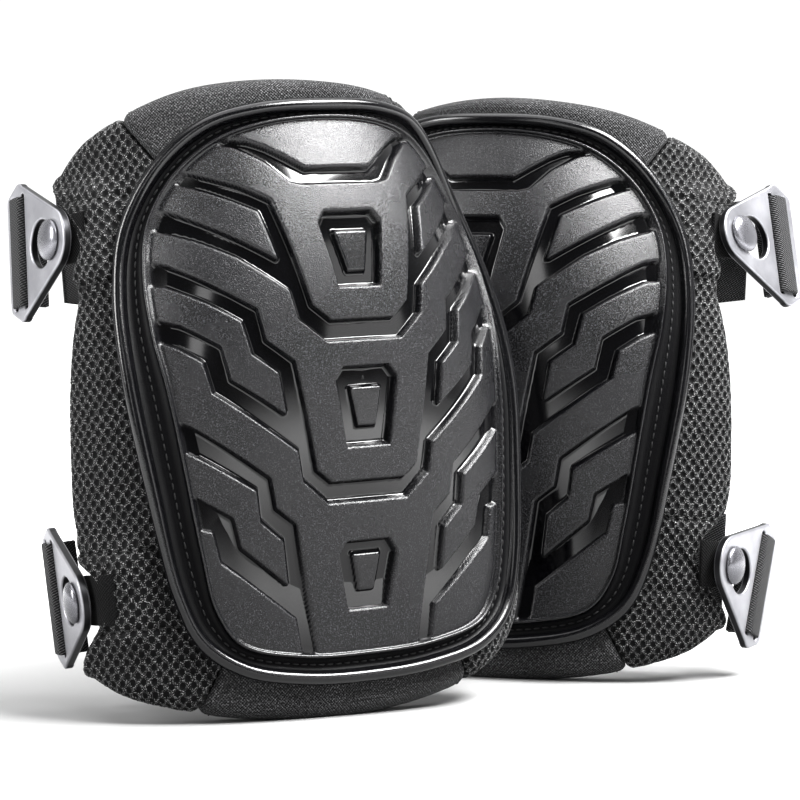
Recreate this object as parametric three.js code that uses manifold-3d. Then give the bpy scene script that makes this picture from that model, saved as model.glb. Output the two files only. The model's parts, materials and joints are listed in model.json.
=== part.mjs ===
// A pair of gel knee pads for kneeling work, one standing in front of the other.
// Millimetres, +Z up, the caps face -Y. The pads are mirror twins: the side with the
// studs and clips is the outer side of the leg.
import * as THREE from 'three';
import { mergeVertices } from 'three/addons/utils/BufferGeometryUtils.js';
import Module from 'manifold-3d';

const wasm = await Module();
wasm.setup();

// ---------------------------------------------------------------- driving dimensions
const GAP = 0.3; // clearance between pieces that touch
const LAYER_GAP = 2.7; // clearance between curved layers, which are faceted differently

// How each pad stands: turn about the vertical, lean back, tip sideways, and its place.
// The strap pulls each clip round to its own heading, roll and swivel; reach is how far
// the stud is from the wing.
const PADS = [
  { name: 'left', outer: -1, turn: 31.7, lean: 5.75, tip: -2.35, x: -19.2, y: -56.1, outerWrap: [82, 70],
    upper: { heading: 90.4, roll: 4.8, swivel: -4.6, reach: 17 },
    lower: { heading: 101.6, roll: -3.3, swivel: 2.6, reach: 19 } },
  { name: 'right', outer: 1, turn: -20.8, lean: 5.75, tip: 0.95, x: 19.2, y: 56.1, outerWrap: [70, 62],
    upper: { heading: 68.6, roll: 14.7, swivel: -3.6, reach: 13.5 },
    lower: { heading: 80.2, roll: -0.2, swivel: -16.5, reach: 9 } },
];
const FOOT_FLAT = 2; // how much of the lowest edge is pressed flat by the floor

// The pad's face wraps round the knee: its heading turns towards the back as
// end angle * (s / WRAP_LENGTH) ^ power, where s is the distance from the middle. A low
// power is a rounder face, as it is at the top.
// End angles are [at the top, at the bottom]; the outer side's are with each pad.
const INNER_WRAP = [88, 88];
const WRAP_LENGTH = 115;
const WRAP_POWER = { low: 2.5, high: 1.1, from: -20, to: 100 };
const WRAP_STEPS = 40; // how finely the turn is added up
const FACE_DEPTH = 13.5; // the face's middle, behind the top of the cap's dome
const FACE_BOW = 0.00043; // how the face curves back towards top and bottom, per mm

// The dome's depth behind its top, at x and v in units of 100 mm.
const DOME = { x2: 0.2427, v2: 0.1632, x4: 0.2822, x2v: 0.0614, v3: 0.0777, x2v2: -0.1382,
  v4: 0.0122, v: -0.0772, x6: 0.2154 };

// Half outlines on the face, as [distance from the middle, height], top to bottom.
const RIDGE_LINE = [[0, 101], [26, 99], [44, 93.5], [61, 81], [73, 63], [77, 45], [77, 22],
  [74, 0], [71, -25], [66.5, -60], [62, -83], [53, -96], [30, -102.5], [0, -104]];
const BEAD_LINE = [[0, 105], [27, 104], [47, 99], [67, 84], [81.5, 62], [87, 38], [87, 4],
  [81.5, -40], [75, -76], [67, -94], [52, -105], [28, -110.5], [0, -112]];
const OUTER_LINE = [[0, 116], [40, 113], [62, 109], [82, 103], [104, 94], [118, 80], [103, 67],
  [98, 57], [103, 46], [113, 18], [118, -20], [116, -52], [102, -66], [100, -76.5], [103, -86],
  [118, -95], [102, -109], [78, -118], [45, -125], [0, -128]];
const INNER_LINE = [[0, 116], [36, 112.5], [57, 107.5], [76, 98.5], [92, 85], [102, 68], [107, 40],
  [110, 5], [109, -40], [104, -74], [94, -95], [76, -110], [48, -121], [0, -128]];
const [[, BODY_TOP]] = OUTER_LINE;
const [, BODY_BOTTOM] = OUTER_LINE.at(-1);

const CAP_WALL = 2.6;
const UNDER_FLANGE = 0.6; // underside of the flange above the face
const FLANGE = 1.5; // thickness of the cap's flange in the trough
const RIDGE_HEIGHT = 3.2; // above the face
const BEAD_HEIGHT = 5.2;
const BEAD_HALF_WIDTH = 3.4;
const FACE_FABRIC = 1.6;
const CORE_MIDDLE = 12; // thickness of the foam core in the middle and at the edge
const CORE_EDGE = 6.5;
const LINING = 2.6;
const GEL_PART = 0.46; // how far the gel reaches from the middle to the body's edge
const GEL_THICKNESS = 5;
const FILLER_EASE = 0.9; // room between the dome and the foam that fills it
const SEAM_INSET = 7; // how far the face fabric runs in under the cap
const PANEL_SEAMS = [52.5, 112.5, 247.5, 300]; // where panels meet, degrees round from the outer side

const STUD_PLACES = { upper: { edge: 98, height: 62 }, lower: { edge: 101, height: -75 } };
const TAB = { overlap: 3, rootLift: 2.6, bend: 7, tip: 10, halfWidth: 9.5, thickness: 1.6, hole: 3 };
const STUD = { post: 2.6, neck: 3.6, head: 8.4, headThickness: 3.4, rim: 0.7, bottom: -3.2 };
const BACK_CAP = { radius: 6, thickness: 1.3, top: -1.2 };
const CLIP = { room: 1.8, thickness: 3.6, apex: 12.3, shoulderP: 27, halfLength: 28, edgeP: 38,
  edgeHalf: 22.5, slots: [[22.4, 25], [31.3, 33.9]], slotHalf: 22.3, entry: 8.8, neckHalf: 4.1 };
const STRAP = { width: 43, thickness: 1.6 };
const STRAP_DROP = { upper: 24, lower: -6 }; // how far the inner end sits below the stud
const STRAP_BEHIND = { upper: 10, lower: 3 }; // room between its inner end and the lining
const HOOK_PATCH = { start: 26, length: 30, width: 38, thickness: 1.2 };

const AROUND = 48; // points round an outline

// ---------------------------------------------------------------- materials
const finish = (color, roughness, metalness = 0) =>
  new THREE.MeshStandardMaterial({ color, roughness, metalness });
const MATERIALS = {
  cap: finish(0x17171a, 0.38),
  oxford: finish(0x121214, 0.8),
  airMesh: finish(0x18181a, 0.85),
  foam: finish(0x2a2a2c, 0.9),
  gel: finish(0x3c5c8c, 0.35),
  lining: finish(0x1c1c1e, 0.9),
  clip: finish(0xa9a9b0, 0.42),
  stud: finish(0x9a9aa2, 0.4),
  steel: finish(0xb8b8bc, 0.35, 1),
  webbing: finish(0x101011, 0.8),
};

// ---------------------------------------------------------------- the pad's shape
// How far round the face turns by its edge: on the outer side it can differ from top to bottom.
function wrapEnd(pad, s, v) {
  const down = (BODY_TOP - v) / (BODY_TOP - BODY_BOTTOM);
  const [top, bottom] = s > 0 ? pad.outerWrap : INNER_WRAP;
  return THREE.MathUtils.degToRad(top + (bottom - top) * down);
}

function wrapHeading(pad, s, v) {
  const { low, high, from, to } = WRAP_POWER;
  const power = low + (high - low) * THREE.MathUtils.smoothstep(v, from, to);
  return wrapEnd(pad, s, v) * Math.min(1, Math.abs(s) / WRAP_LENGTH) ** power;
}

function wrapPoint(pad, s, v) {
  const step = s / WRAP_STEPS;
  let x = 0;
  let y = 0;
  for (let i = 0; i < WRAP_STEPS; i += 1) {
    const heading = wrapHeading(pad, step * (i + 0.5), v);
    x += step * Math.cos(heading);
    y += Math.abs(step) * Math.sin(heading);
  }
  return [x, y];
}

// The place at distance s and height v on the face, and depth d behind it.
function onFace(pad, s, v, d = 0) {
  const [x, y] = wrapPoint(pad, s, v);
  const heading = wrapHeading(pad, s, v);
  const sideways = -Math.sign(s) * Math.sin(heading) * d;
  const backwards = Math.cos(heading) * d;
  return new THREE.Vector3(x + sideways, FACE_DEPTH + y + FACE_BOW * v * v + backwards, v);
}

function domeDepth(xMm, vMm) {
  const x = xMm / 100;
  const v = vMm / 100;
  const depth = DOME.x2 * x ** 2 + DOME.v2 * v ** 2 + DOME.x4 * x ** 4 + DOME.x2v * x ** 2 * v
    + DOME.v3 * v ** 3 + DOME.x2v2 * x ** 2 * v ** 2 + DOME.v4 * v ** 4 + DOME.v * v + DOME.x6 * x ** 6;
  return 100 * depth;
}

// A closed outline through an outer half and the mirror image of an inner half.
function closedOutline(half, otherHalf = half) {
  const mirrored = otherHalf.slice(1, -1).reverse().map(([s, v]) => [-s, v]);
  const points = [...half, ...mirrored].map(([s, v]) => new THREE.Vector3(s, v, 0));
  const curve = new THREE.CatmullRomCurve3(points, true, 'centripetal');
  const fine = curve.getSpacedPoints(720).slice(0, -1);
  return (degrees) => {
    const wanted = THREE.MathUtils.degToRad(degrees);
    const direction = new THREE.Vector3(Math.cos(wanted), Math.sin(wanted), 0);
    const along = (point) => point.dot(direction) / point.length();
    return fine.reduce((best, point) => (along(point) > along(best) ? point : best));
  };
}

const ridgeLine = closedOutline(RIDGE_LINE);
const beadLine = closedOutline(BEAD_LINE);
const bodyLine = closedOutline(OUTER_LINE, INNER_LINE);

const roundAngles = Array.from({ length: AROUND }, (_, i) => (360 * i) / AROUND);

// ---------------------------------------------------------------- solid makers
// One closed body through rings of equally many points; a ring of one point is a tip.
function loft(rings) {
  const positions = [];
  const starts = rings.map((ring) => {
    const start = positions.length / 3;
    ring.forEach((point) => positions.push(point.x, point.y, point.z));
    return start;
  });
  const indices = [];
  const count = Math.max(...rings.map((ring) => ring.length));
  const fan = (ring, start, flip) => {
    const centre = ring.reduce((sum, point) => sum.add(point), new THREE.Vector3());
    centre.divideScalar(ring.length);
    const middle = positions.length / 3;
    positions.push(centre.x, centre.y, centre.z);
    ring.forEach((_, i) => {
      const next = start + ((i + 1) % ring.length);
      indices.push(...(flip ? [middle, next, start + i] : [middle, start + i, next]));
    });
  };
  for (let r = 0; r < rings.length - 1; r += 1) {
    for (let i = 0; i < count; i += 1) {
      const next = (i + 1) % count;
      const [a, b] = [starts[r], starts[r + 1]];
      const tipA = rings[r].length === 1;
      const tipB = rings[r + 1].length === 1;
      if (tipA) indices.push(a, b + i, b + next);
      else if (tipB) indices.push(a + i, b, a + next);
      else indices.push(a + i, b + i, b + next, a + i, b + next, a + next);
    }
  }
  if (rings[0].length > 1) fan(rings[0], starts[0], false);
  if (rings.at(-1).length > 1) fan(rings.at(-1), starts.at(-1), true);
  const geometry = new THREE.BufferGeometry();
  geometry.setAttribute('position', new THREE.Float32BufferAttribute(positions, 3));
  geometry.setIndex(indices);
  return facingOut(geometry);
}

function signedVolume(geometry) {
  const { position } = geometry.attributes;
  const index = geometry.index.array;
  const [a, b, c] = [new THREE.Vector3(), new THREE.Vector3(), new THREE.Vector3()];
  let volume = 0;
  for (let i = 0; i < index.length; i += 3) {
    a.fromBufferAttribute(position, index[i]);
    b.fromBufferAttribute(position, index[i + 1]);
    c.fromBufferAttribute(position, index[i + 2]);
    volume += a.dot(b.cross(c)) / 6;
  }
  return volume;
}

function facingOut(geometry) {
  if (signedVolume(geometry) < 0) geometry.index.array.reverse();
  geometry.computeVertexNormals();
  return geometry;
}

function toManifold(geometry) {
  const bare = geometry.clone();
  bare.deleteAttribute('normal');
  bare.deleteAttribute('uv');
  const merged = mergeVertices(bare, 1e-4);
  return new wasm.Manifold(new wasm.Mesh({
    numProp: 3,
    vertProperties: merged.attributes.position.array,
    triVerts: Uint32Array.from(merged.index.array),
  }));
}

function fromManifold(solid) {
  const { vertProperties, triVerts } = solid.getMesh();
  const geometry = new THREE.BufferGeometry();
  geometry.setAttribute('position', new THREE.BufferAttribute(vertProperties, 3));
  geometry.setIndex(new THREE.BufferAttribute(triVerts, 1));
  geometry.computeVertexNormals();
  return geometry;
}

const cut = (geometry, tool) => fromManifold(toManifold(geometry).subtract(toManifold(tool)));

// A slab over the inside of an outline, with front and back given by depth functions
// of the share t of the way from the middle to the outline.
function discSlab(outlinePoints, shares, front, back) {
  const ring = (t, place) => outlinePoints.map((point) => place(point.x * t, point.y * t, t));
  const tip = (place) => [place(0, 0, 0)];
  return loft([tip(front), ...shares.map((t) => ring(t, front)),
    ...[...shares].reverse().map((t) => ring(t, back)), tip(back)]);
}

// A strip of the face between two outlines, from one angle to another.
function facePanel(pad, fromDegrees, toDegrees, steps, across, d0, d1) {
  const stations = [];
  for (let i = 0; i <= steps; i += 1) {
    const degrees = fromDegrees + ((toDegrees - fromDegrees) * i) / steps;
    const inner = insideRidge(degrees, SEAM_INSET);
    const outer = bodyLine(degrees);
    const line = across.map((t) => inner.clone().lerp(outer, t));
    stations.push([...line.map((point) => onFace(pad, point.x, point.y, d0)),
      ...line.reverse().map((point) => onFace(pad, point.x, point.y, d1))]);
  }
  return loft(stations);
}

function insideRidge(degrees, inset) {
  const point = ridgeLine(degrees);
  return point.clone().multiplyScalar(1 - inset / point.length());
}

// ---------------------------------------------------------------- the cap
// The dome reaches the face at the ridge; outside it run the ridge, the trough where it is
// sewn, and the round bead.
function capSurface(pad, point, t, under) {
  const [x] = wrapPoint(pad, point.x, point.y);
  const footDepth = onFace(pad, point.x, point.y).y - FLANGE - GAP;
  const correction = (footDepth - domeDepth(x, point.y)) * t ** 4;
  const surface = domeDepth(x * t, point.y * t) + correction;
  const face = onFace(pad, point.x * t, point.y * t).y - UNDER_FLANGE;
  const depth = under > 0 ? Math.min(surface + under, face) : surface;
  return new THREE.Vector3(x * t, depth, point.y * t);
}

function makeCap(pad) {
  const ridge = roundAngles.map(ridgeLine);
  const bead = roundAngles.map(beadLine);
  const domeRing = (t, under) => ridge.map((point) => capSurface(pad, point, t, under));
  const brimRing = (share, height) => ridge.map((point, i) => {
    const place = point.clone().lerp(bead[i], share);
    return onFace(pad, place.x, place.y, -height);
  });
  const beadRing = (offset, height) => bead.map((point) => {
    const place = point.clone().multiplyScalar(1 + offset / point.length());
    return onFace(pad, place.x, place.y, -height);
  });
  const shares = [0.2, 0.4, 0.6, 0.78, 0.92];
  const rings = [[capSurface(pad, ridge[0], 0, 0)]];
  shares.forEach((t) => rings.push(domeRing(t, 0)));
  rings.push(brimRing(-0.08, FLANGE + GAP));
  rings.push(brimRing(0.02, RIDGE_HEIGHT));
  rings.push(brimRing(0.2, FLANGE + GAP));
  rings.push(beadRing(-BEAD_HALF_WIDTH, FLANGE + GAP));
  rings.push(beadRing(-0.5 * BEAD_HALF_WIDTH, 0.85 * BEAD_HEIGHT));
  rings.push(beadRing(0, BEAD_HEIGHT));
  rings.push(beadRing(0.7 * BEAD_HALF_WIDTH, 0.78 * BEAD_HEIGHT));
  rings.push(beadRing(BEAD_HALF_WIDTH, 0.4 * BEAD_HEIGHT));
  rings.push(beadRing(0.85 * BEAD_HALF_WIDTH, UNDER_FLANGE));
  rings.push(brimRing(0.5, UNDER_FLANGE));
  rings.push(brimRing(-0.1, UNDER_FLANGE));
  [...shares].reverse().forEach((t) => rings.push(domeRing(t, CAP_WALL)));
  rings.push([capSurface(pad, ridge[0], 0, CAP_WALL)]);
  return loft(rings);
}

// ---------------------------------------------------------------- inside the pad
const coreThickness = (t) => CORE_EDGE + (CORE_MIDDLE - CORE_EDGE) * (1 - t ** 3);
const coreFront = FACE_FABRIC + LAYER_GAP;

function makeCapFiller(pad) {
  const outline = roundAngles.map((degrees) => insideRidge(degrees, SEAM_INSET + 1));
  const front = (s, v, t) => {
    const under = capSurface(pad, new THREE.Vector3(s / (t || 1), v / (t || 1), 0), t, CAP_WALL);
    under.y = Math.min(under.y + FILLER_EASE, onFace(pad, s, v, 0.6).y);
    return under;
  };
  return discSlab(outline, [0.4, 0.8, 1], front, (s, v) => onFace(pad, s, v, FACE_FABRIC));
}

function makeFoamCore(pad) {
  const outline = roundAngles.map(bodyLine);
  const front = (s, v) => onFace(pad, s, v, coreFront);
  const backDepth = (t) => coreFront + coreThickness(t) - (t <= GEL_PART ? GEL_THICKNESS : 0);
  const back = (s, v, t) => onFace(pad, s, v, backDepth(t));
  return discSlab(outline, [GEL_PART / 2, GEL_PART, GEL_PART + 0.02, 0.74, 0.88, 0.99], front, back);
}

function makeGel(pad) {
  const outline = roundAngles.map(bodyLine);
  const reach = GEL_PART - 0.015;
  const backDepth = (t) => coreFront + coreThickness(t);
  return discSlab(outline, [reach / 2, reach],
    (s, v, t) => onFace(pad, s, v, backDepth(t) - GEL_THICKNESS + 2 * GAP),
    (s, v, t) => onFace(pad, s, v, backDepth(t)));
}

function makeLining(pad) {
  const outline = roundAngles.map(bodyLine);
  const start = (t) => coreFront + coreThickness(t) + LAYER_GAP;
  return discSlab(outline, [0.4, 0.74, 0.88, 1],
    (s, v, t) => onFace(pad, s, v, start(t)), (s, v, t) => onFace(pad, s, v, start(t) + LINING));
}

// ---------------------------------------------------------------- tab, stud and clip
// The tab follows the wing to its edge, then bends to the clip's heading and roll. Axes past
// the edge: p runs out along the strap, q up, and h stands off the pad.
function tabFrame(pad, part, past) {
  const { edge, height } = STUD_PLACES[part];
  const { heading, roll } = pad[part];
  const start = wrapHeading(pad, edge, height);
  const headingAt = (distance) => THREE.MathUtils.lerp(start, THREE.MathUtils.degToRad(heading),
    Math.min(1, distance / TAB.bend));
  const origin = onFace(pad, edge, height);
  const steps = 12;
  for (let i = 0; i < steps; i += 1) {
    const there = headingAt((past * (i + 0.5)) / steps);
    origin.add(new THREE.Vector3(Math.cos(there), Math.sin(there), 0).multiplyScalar(past / steps));
  }
  const p = new THREE.Vector3(Math.cos(headingAt(past)), Math.sin(headingAt(past)), 0);
  const q = new THREE.Vector3(0, 0, 1);
  q.applyAxisAngle(p, -THREE.MathUtils.degToRad(roll) * Math.min(1, past / TAB.bend));
  return new THREE.Matrix4().makeBasis(p, q, p.clone().cross(q)).setPosition(origin);
}

const studFrame = (pad, part) => tabFrame(pad, part, pad[part].reach);

const discAlongH = (radius, from, to) => {
  const disc = new THREE.CylinderGeometry(radius, radius, to - from, 16);
  disc.rotateX(Math.PI / 2);
  return disc.translate(0, 0, (from + to) / 2);
};

function makeTab(pad, part) {
  const { edge, height } = STUD_PLACES[part];
  const { reach } = pad[part];
  const across = [-1, -0.5, 0, 0.5, 1];
  const section = (half, lift, place) => [...across.map((share) => place(lift, share * half)),
    ...across.map((share) => place(lift + TAB.thickness, -share * half))];
  const onWing = [-TAB.overlap, -TAB.overlap / 2].map((past) => section(TAB.halfWidth, TAB.rootLift,
    (h, q) => onFace(pad, edge + past, height + q, -h)));
  const roundEnd = [0, 0.5, 0.85, 1].map((share) => reach + share * TAB.tip);
  const free = [TAB.bend / 2, TAB.bend, ...roundEnd];
  const beyond = free.map((past) => {
    const round = Math.max(0, (past - reach) / (TAB.tip + 0.6));
    const frame = tabFrame(pad, part, past);
    const lift = GAP + (TAB.rootLift - GAP) * Math.max(0, 1 - past / TAB.bend) ** 2;
    return section(TAB.halfWidth * Math.sqrt(1 - round * round), lift,
      (h, q) => new THREE.Vector3(0, q, h).applyMatrix4(frame));
  });
  const hole = discAlongH(TAB.hole, -4, 8).applyMatrix4(studFrame(pad, part));
  return cut(loft([...onWing, ...beyond]), hole);
}

const clipFloor = GAP + TAB.thickness + CLIP.room; // underside of the clip above the face

function makeStud(pad, part) {
  const clipTop = clipFloor + CLIP.thickness;
  const headFloor = clipTop + 0.2;
  const neckFloor = GAP + TAB.thickness + 0.15;
  const rimTop = headFloor + STUD.rim;
  const half = [[0, STUD.bottom], [STUD.post, STUD.bottom], [STUD.post, neckFloor],
    [STUD.neck, neckFloor], [STUD.neck, headFloor], [STUD.head - STUD.rim, headFloor],
    [STUD.head, rimTop]];
  const dome = [0.4, 0.75].map((turn) => {
    const angle = (turn * Math.PI) / 2;
    const rise = (STUD.headThickness - STUD.rim) * Math.sin(angle);
    return [STUD.head * Math.cos(angle), rimTop + rise];
  });
  const profile = [...half, ...dome, [0, headFloor + STUD.headThickness]];
  return latheAlongH(profile).applyMatrix4(studFrame(pad, part));
}

function latheAlongH(profile) {
  const lathe = new THREE.LatheGeometry(profile.map(([r, h]) => new THREE.Vector2(r, h)), 16);
  lathe.rotateX(Math.PI / 2);
  lathe.deleteAttribute('normal');
  lathe.deleteAttribute('uv');
  return facingOut(mergeVertices(lathe, 1e-4));
}

function makeBackCap(pad, part) {
  const inner = STUD.post + GAP;
  const { radius, thickness, top } = BACK_CAP;
  const profile = [[inner, top], [inner, top - thickness], [radius - 1, top - thickness],
    [radius, top], [inner, top]];
  return latheAlongH(profile).applyMatrix4(studFrame(pad, part));
}

function clipOutline() {
  const shape = new THREE.Shape();
  const { apex, shoulderP, halfLength, edgeP, edgeHalf } = CLIP;
  const span = Math.hypot(shoulderP, halfLength);
  const lean = Math.atan2(halfLength, shoulderP) + Math.acos(apex / span);
  shape.absarc(0, 0, apex, lean, 2 * Math.PI - lean, false);
  shape.lineTo(shoulderP - 2, -halfLength + 1.6);
  shape.quadraticCurveTo(shoulderP, -halfLength - 0.3, shoulderP + 3, -halfLength + 1.4);
  shape.lineTo(edgeP - 1.5, -edgeHalf - 0.8);
  shape.quadraticCurveTo(edgeP, -edgeHalf, edgeP, -edgeHalf + 3);
  shape.lineTo(edgeP, edgeHalf - 3);
  shape.quadraticCurveTo(edgeP, edgeHalf, edgeP - 1.5, edgeHalf + 0.8);
  shape.lineTo(shoulderP + 3, halfLength - 1.4);
  shape.quadraticCurveTo(shoulderP, halfLength + 0.3, shoulderP - 2, halfLength - 1.6);
  shape.closePath();
  return shape;
}

// The stud's head drops through the round part and its neck slides into the narrow part.
function keyhole() {
  const { entry, neckHalf } = CLIP;
  const hole = new THREE.Path();
  const open = Math.asin(neckHalf / entry);
  hole.absarc(entry * Math.cos(open), 0, entry, Math.PI + open, Math.PI - open, false);
  const step = 0.05; // keeps the arcs' shared points apart
  hole.absarc(0, 0, neckHalf, Math.PI / 2 + step, (3 * Math.PI) / 2 - step, false);
  hole.closePath();
  return hole;
}

function makeClip(frame) {
  const shape = clipOutline();
  shape.holes.push(keyhole());
  const plate = new THREE.ExtrudeGeometry(shape, {
    depth: CLIP.thickness - 1.2, bevelThickness: 0.6, bevelSize: 0.5, bevelOffset: -0.5,
    bevelSegments: 1, curveSegments: 5,
  });
  plate.translate(0, 0, clipFloor + 0.6);
  // the strap goes through two slots, round the bar between them
  const slotted = CLIP.slots.reduce((solid, [from, to]) => {
    const slot = new THREE.BoxGeometry(to - from, 2 * CLIP.slotHalf, 30);
    return cut(solid, slot.translate((from + to) / 2, 0, 0));
  }, plate);
  return slotted.applyMatrix4(frame);
}

// The strap's end wraps the clip's bar and comes off behind it.
function makeStrapEnd(frame) {
  const t = STRAP.thickness;
  const [[, barIn], [barOut]] = CLIP.slots;
  const low = clipFloor - GAP;
  const high = clipFloor + CLIP.thickness + GAP;
  const outside = new THREE.Shape();
  outside.moveTo(barIn - GAP - t, low - 5.5);
  outside.lineTo(barIn + 0.5, low - 5.5);
  outside.lineTo(barIn + 0.5, low - t);
  outside.lineTo(barOut + 0.2, low - t);
  outside.lineTo(barOut + GAP + t, low);
  outside.lineTo(barOut + GAP + t, high);
  outside.lineTo(barOut, high + t);
  outside.lineTo(barIn, high + t);
  outside.lineTo(barIn - GAP - t, high);
  outside.closePath();
  const inside = new THREE.Path();
  inside.moveTo(barIn - GAP, low);
  inside.lineTo(barOut + GAP, low);
  inside.lineTo(barOut + GAP, high);
  inside.lineTo(barIn - GAP, high);
  inside.closePath();
  outside.holes.push(inside);
  const loop = new THREE.ExtrudeGeometry(outside, { depth: STRAP.width, bevelEnabled: false });
  loop.translate(0, 0, -STRAP.width / 2);
  // the section is drawn in p and h, and pulled along -q
  loop.rotateX(Math.PI / 2);
  return loop.applyMatrix4(frame);
}

// ---------------------------------------------------------------- straps
// A flat band standing on edge: centre line points, and its half thickness each way.
function band(points, width, thickness) {
  const rings = points.map((point, i) => {
    const before = points[Math.max(i - 1, 0)];
    const after = points[Math.min(i + 1, points.length - 1)];
    const side = new THREE.Vector3(before.y - after.y, after.x - before.x, 0);
    side.normalize().multiplyScalar(thickness / 2);
    const up = new THREE.Vector3(0, 0, width / 2);
    return [point.clone().add(side).sub(up), point.clone().add(side).add(up),
      point.clone().sub(side).add(up), point.clone().sub(side).sub(up)];
  });
  return loft(rings);
}

const padThickness = coreFront + CORE_EDGE + LINING + 2 * GAP;

function strapRoute(pad, part) {
  const endHeight = STUD_PLACES[part].height - STRAP_DROP[part];
  const frame = studFrame(pad, part);
  const start = new THREE.Vector3(CLIP.slots[0][1] - 0.7, 0, -8.5).applyMatrix4(frame);
  const seatDepth = padThickness + STRAP.thickness / 2 + STRAP_BEHIND[part];
  const seat = (s, d) => onFace(pad, -s, endHeight, d);
  const edge = seat(112, seatDepth + 1);
  const middle = start.clone().lerp(edge, 0.5).add(new THREE.Vector3(0, 5, 0));
  return new THREE.CatmullRomCurve3([start, middle, edge, seat(98, seatDepth + 1.5)]);
}

const makeStrap = (pad, part) => band(strapRoute(pad, part).getSpacedPoints(14),
  STRAP.width, STRAP.thickness);

function makeHookPatch(pad, part) {
  const curve = strapRoute(pad, part);
  const from = HOOK_PATCH.start / curve.getLength();
  const to = from + HOOK_PATCH.length / curve.getLength();
  const shares = [0, 0.25, 0.5, 0.75, 1].map((share) => from + share * (to - from));
  const offset = STRAP.thickness / 2 + GAP + HOOK_PATCH.thickness / 2;
  const points = shares.map((share) => {
    const tangent = curve.getTangentAt(share);
    const behind = new THREE.Vector3(-tangent.y, tangent.x, 0).normalize();
    if (behind.y < 0) behind.negate();
    return curve.getPointAt(share).add(behind.multiplyScalar(offset));
  });
  return band(points, HOOK_PATCH.width, HOOK_PATCH.thickness);
}

// ---------------------------------------------------------------- one pad
const mirrorX = new THREE.Matrix4().makeScale(-1, 1, 1);

function padPieces(pad) {
  const pieces = new Map();
  const add = (name, geometry, material) => pieces.set(name, { geometry, material });
  add('cap', makeCap(pad), MATERIALS.cap);
  add('cap_filler', makeCapFiller(pad), MATERIALS.foam);
  const [outerTop, innerTop, innerBottom, outerBottom] = PANEL_SEAMS;
  const across = [0, 0.25, 0.5, 0.75, 1];
  add('upper_panel', facePanel(pad, outerTop, innerTop, 8, across, 0, FACE_FABRIC), MATERIALS.oxford);
  add('lower_panel', facePanel(pad, innerBottom, outerBottom, 7, across, 0, FACE_FABRIC), MATERIALS.oxford);
  const seam = 0.4; // degrees left between neighbouring panels
  add('inner_wing', facePanel(pad, innerTop + seam, innerBottom - seam, 18, across, 0, FACE_FABRIC),
    MATERIALS.airMesh);
  add('outer_wing', facePanel(pad, outerBottom + seam, 360 + outerTop - seam, 15, across, 0, FACE_FABRIC),
    MATERIALS.airMesh);
  add('foam_core', makeFoamCore(pad), MATERIALS.foam);
  add('gel_insert', makeGel(pad), MATERIALS.gel);
  add('lining', makeLining(pad), MATERIALS.lining);
  Object.keys(STUD_PLACES).forEach((part) => {
    const frame = studFrame(pad, part);
    const swivel = THREE.MathUtils.degToRad(pad[part].swivel);
    frame.multiply(new THREE.Matrix4().makeRotationZ(swivel));
    add(`${part}_tab`, makeTab(pad, part), MATERIALS.webbing);
    add(`${part}_stud`, makeStud(pad, part), MATERIALS.stud);
    add(`${part}_stud_back`, makeBackCap(pad, part), MATERIALS.steel);
    add(`${part}_clip`, makeClip(frame), MATERIALS.clip);
    add(`${part}_strap_end`, makeStrapEnd(frame), MATERIALS.webbing);
    add(`${part}_strap`, makeStrap(pad, part), MATERIALS.webbing);
    add(`${part}_hook_patch`, makeHookPatch(pad, part), MATERIALS.webbing);
  });
  return pieces;
}

function makePad(pad) {
  const group = new THREE.Group();
  const { degToRad } = THREE.MathUtils;
  group.rotation.set(degToRad(-pad.lean), degToRad(pad.tip), degToRad(pad.turn), 'ZXY');
  group.updateMatrixWorld(true);
  const pieces = padPieces(pad);
  let lowest = Infinity;
  pieces.forEach((piece) => {
    if (pad.outer < 0) piece.geometry.applyMatrix4(mirrorX);
    piece.geometry = facingOut(indexed(piece.geometry));
    const standing = piece.geometry.clone().applyMatrix4(group.matrixWorld);
    standing.computeBoundingBox();
    lowest = Math.min(lowest, standing.boundingBox.min.z);
  });
  group.position.set(pad.x, pad.y, -lowest - FOOT_FLAT);
  group.updateMatrixWorld(true);
  const toPad = group.matrixWorld.clone().invert();
  const floor = new THREE.BoxGeometry(800, 800, 100).translate(0, 0, -50).applyMatrix4(toPad);
  ['lower_panel', 'foam_core', 'lining'].forEach((name) => {
    const piece = pieces.get(name);
    piece.geometry = cut(piece.geometry, floor);
  });
  pieces.forEach((piece, name) => {
    const mesh = new THREE.Mesh(piece.geometry, piece.material);
    mesh.name = `${pad.name}_${name}`;
    group.add(mesh);
  });
  return group;
}

function indexed(geometry) {
  const bare = geometry.clone();
  bare.deleteAttribute('normal');
  bare.deleteAttribute('uv');
  return mergeVertices(bare, 1e-4);
}

const kneePads = new THREE.Group();
PADS.forEach((pad) => kneePads.add(makePad(pad)));
kneePads.updateMatrixWorld(true);
const size = new THREE.Box3().setFromObject(kneePads, true);
const middle = size.getCenter(new THREE.Vector3());
kneePads.position.set(-middle.x, -middle.y, 0);

export default kneePads;
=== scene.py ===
"""A pair of gel knee pads with hard caps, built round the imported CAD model.

Millimetres inside the shape functions, metres in Blender. In a pad's own frame x runs
towards the outer side of the leg, y runs back from the cap and z (or v) runs up.
"""

import json
import math

import bpy
import numpy as np
from mathutils import Matrix, Vector

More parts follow.
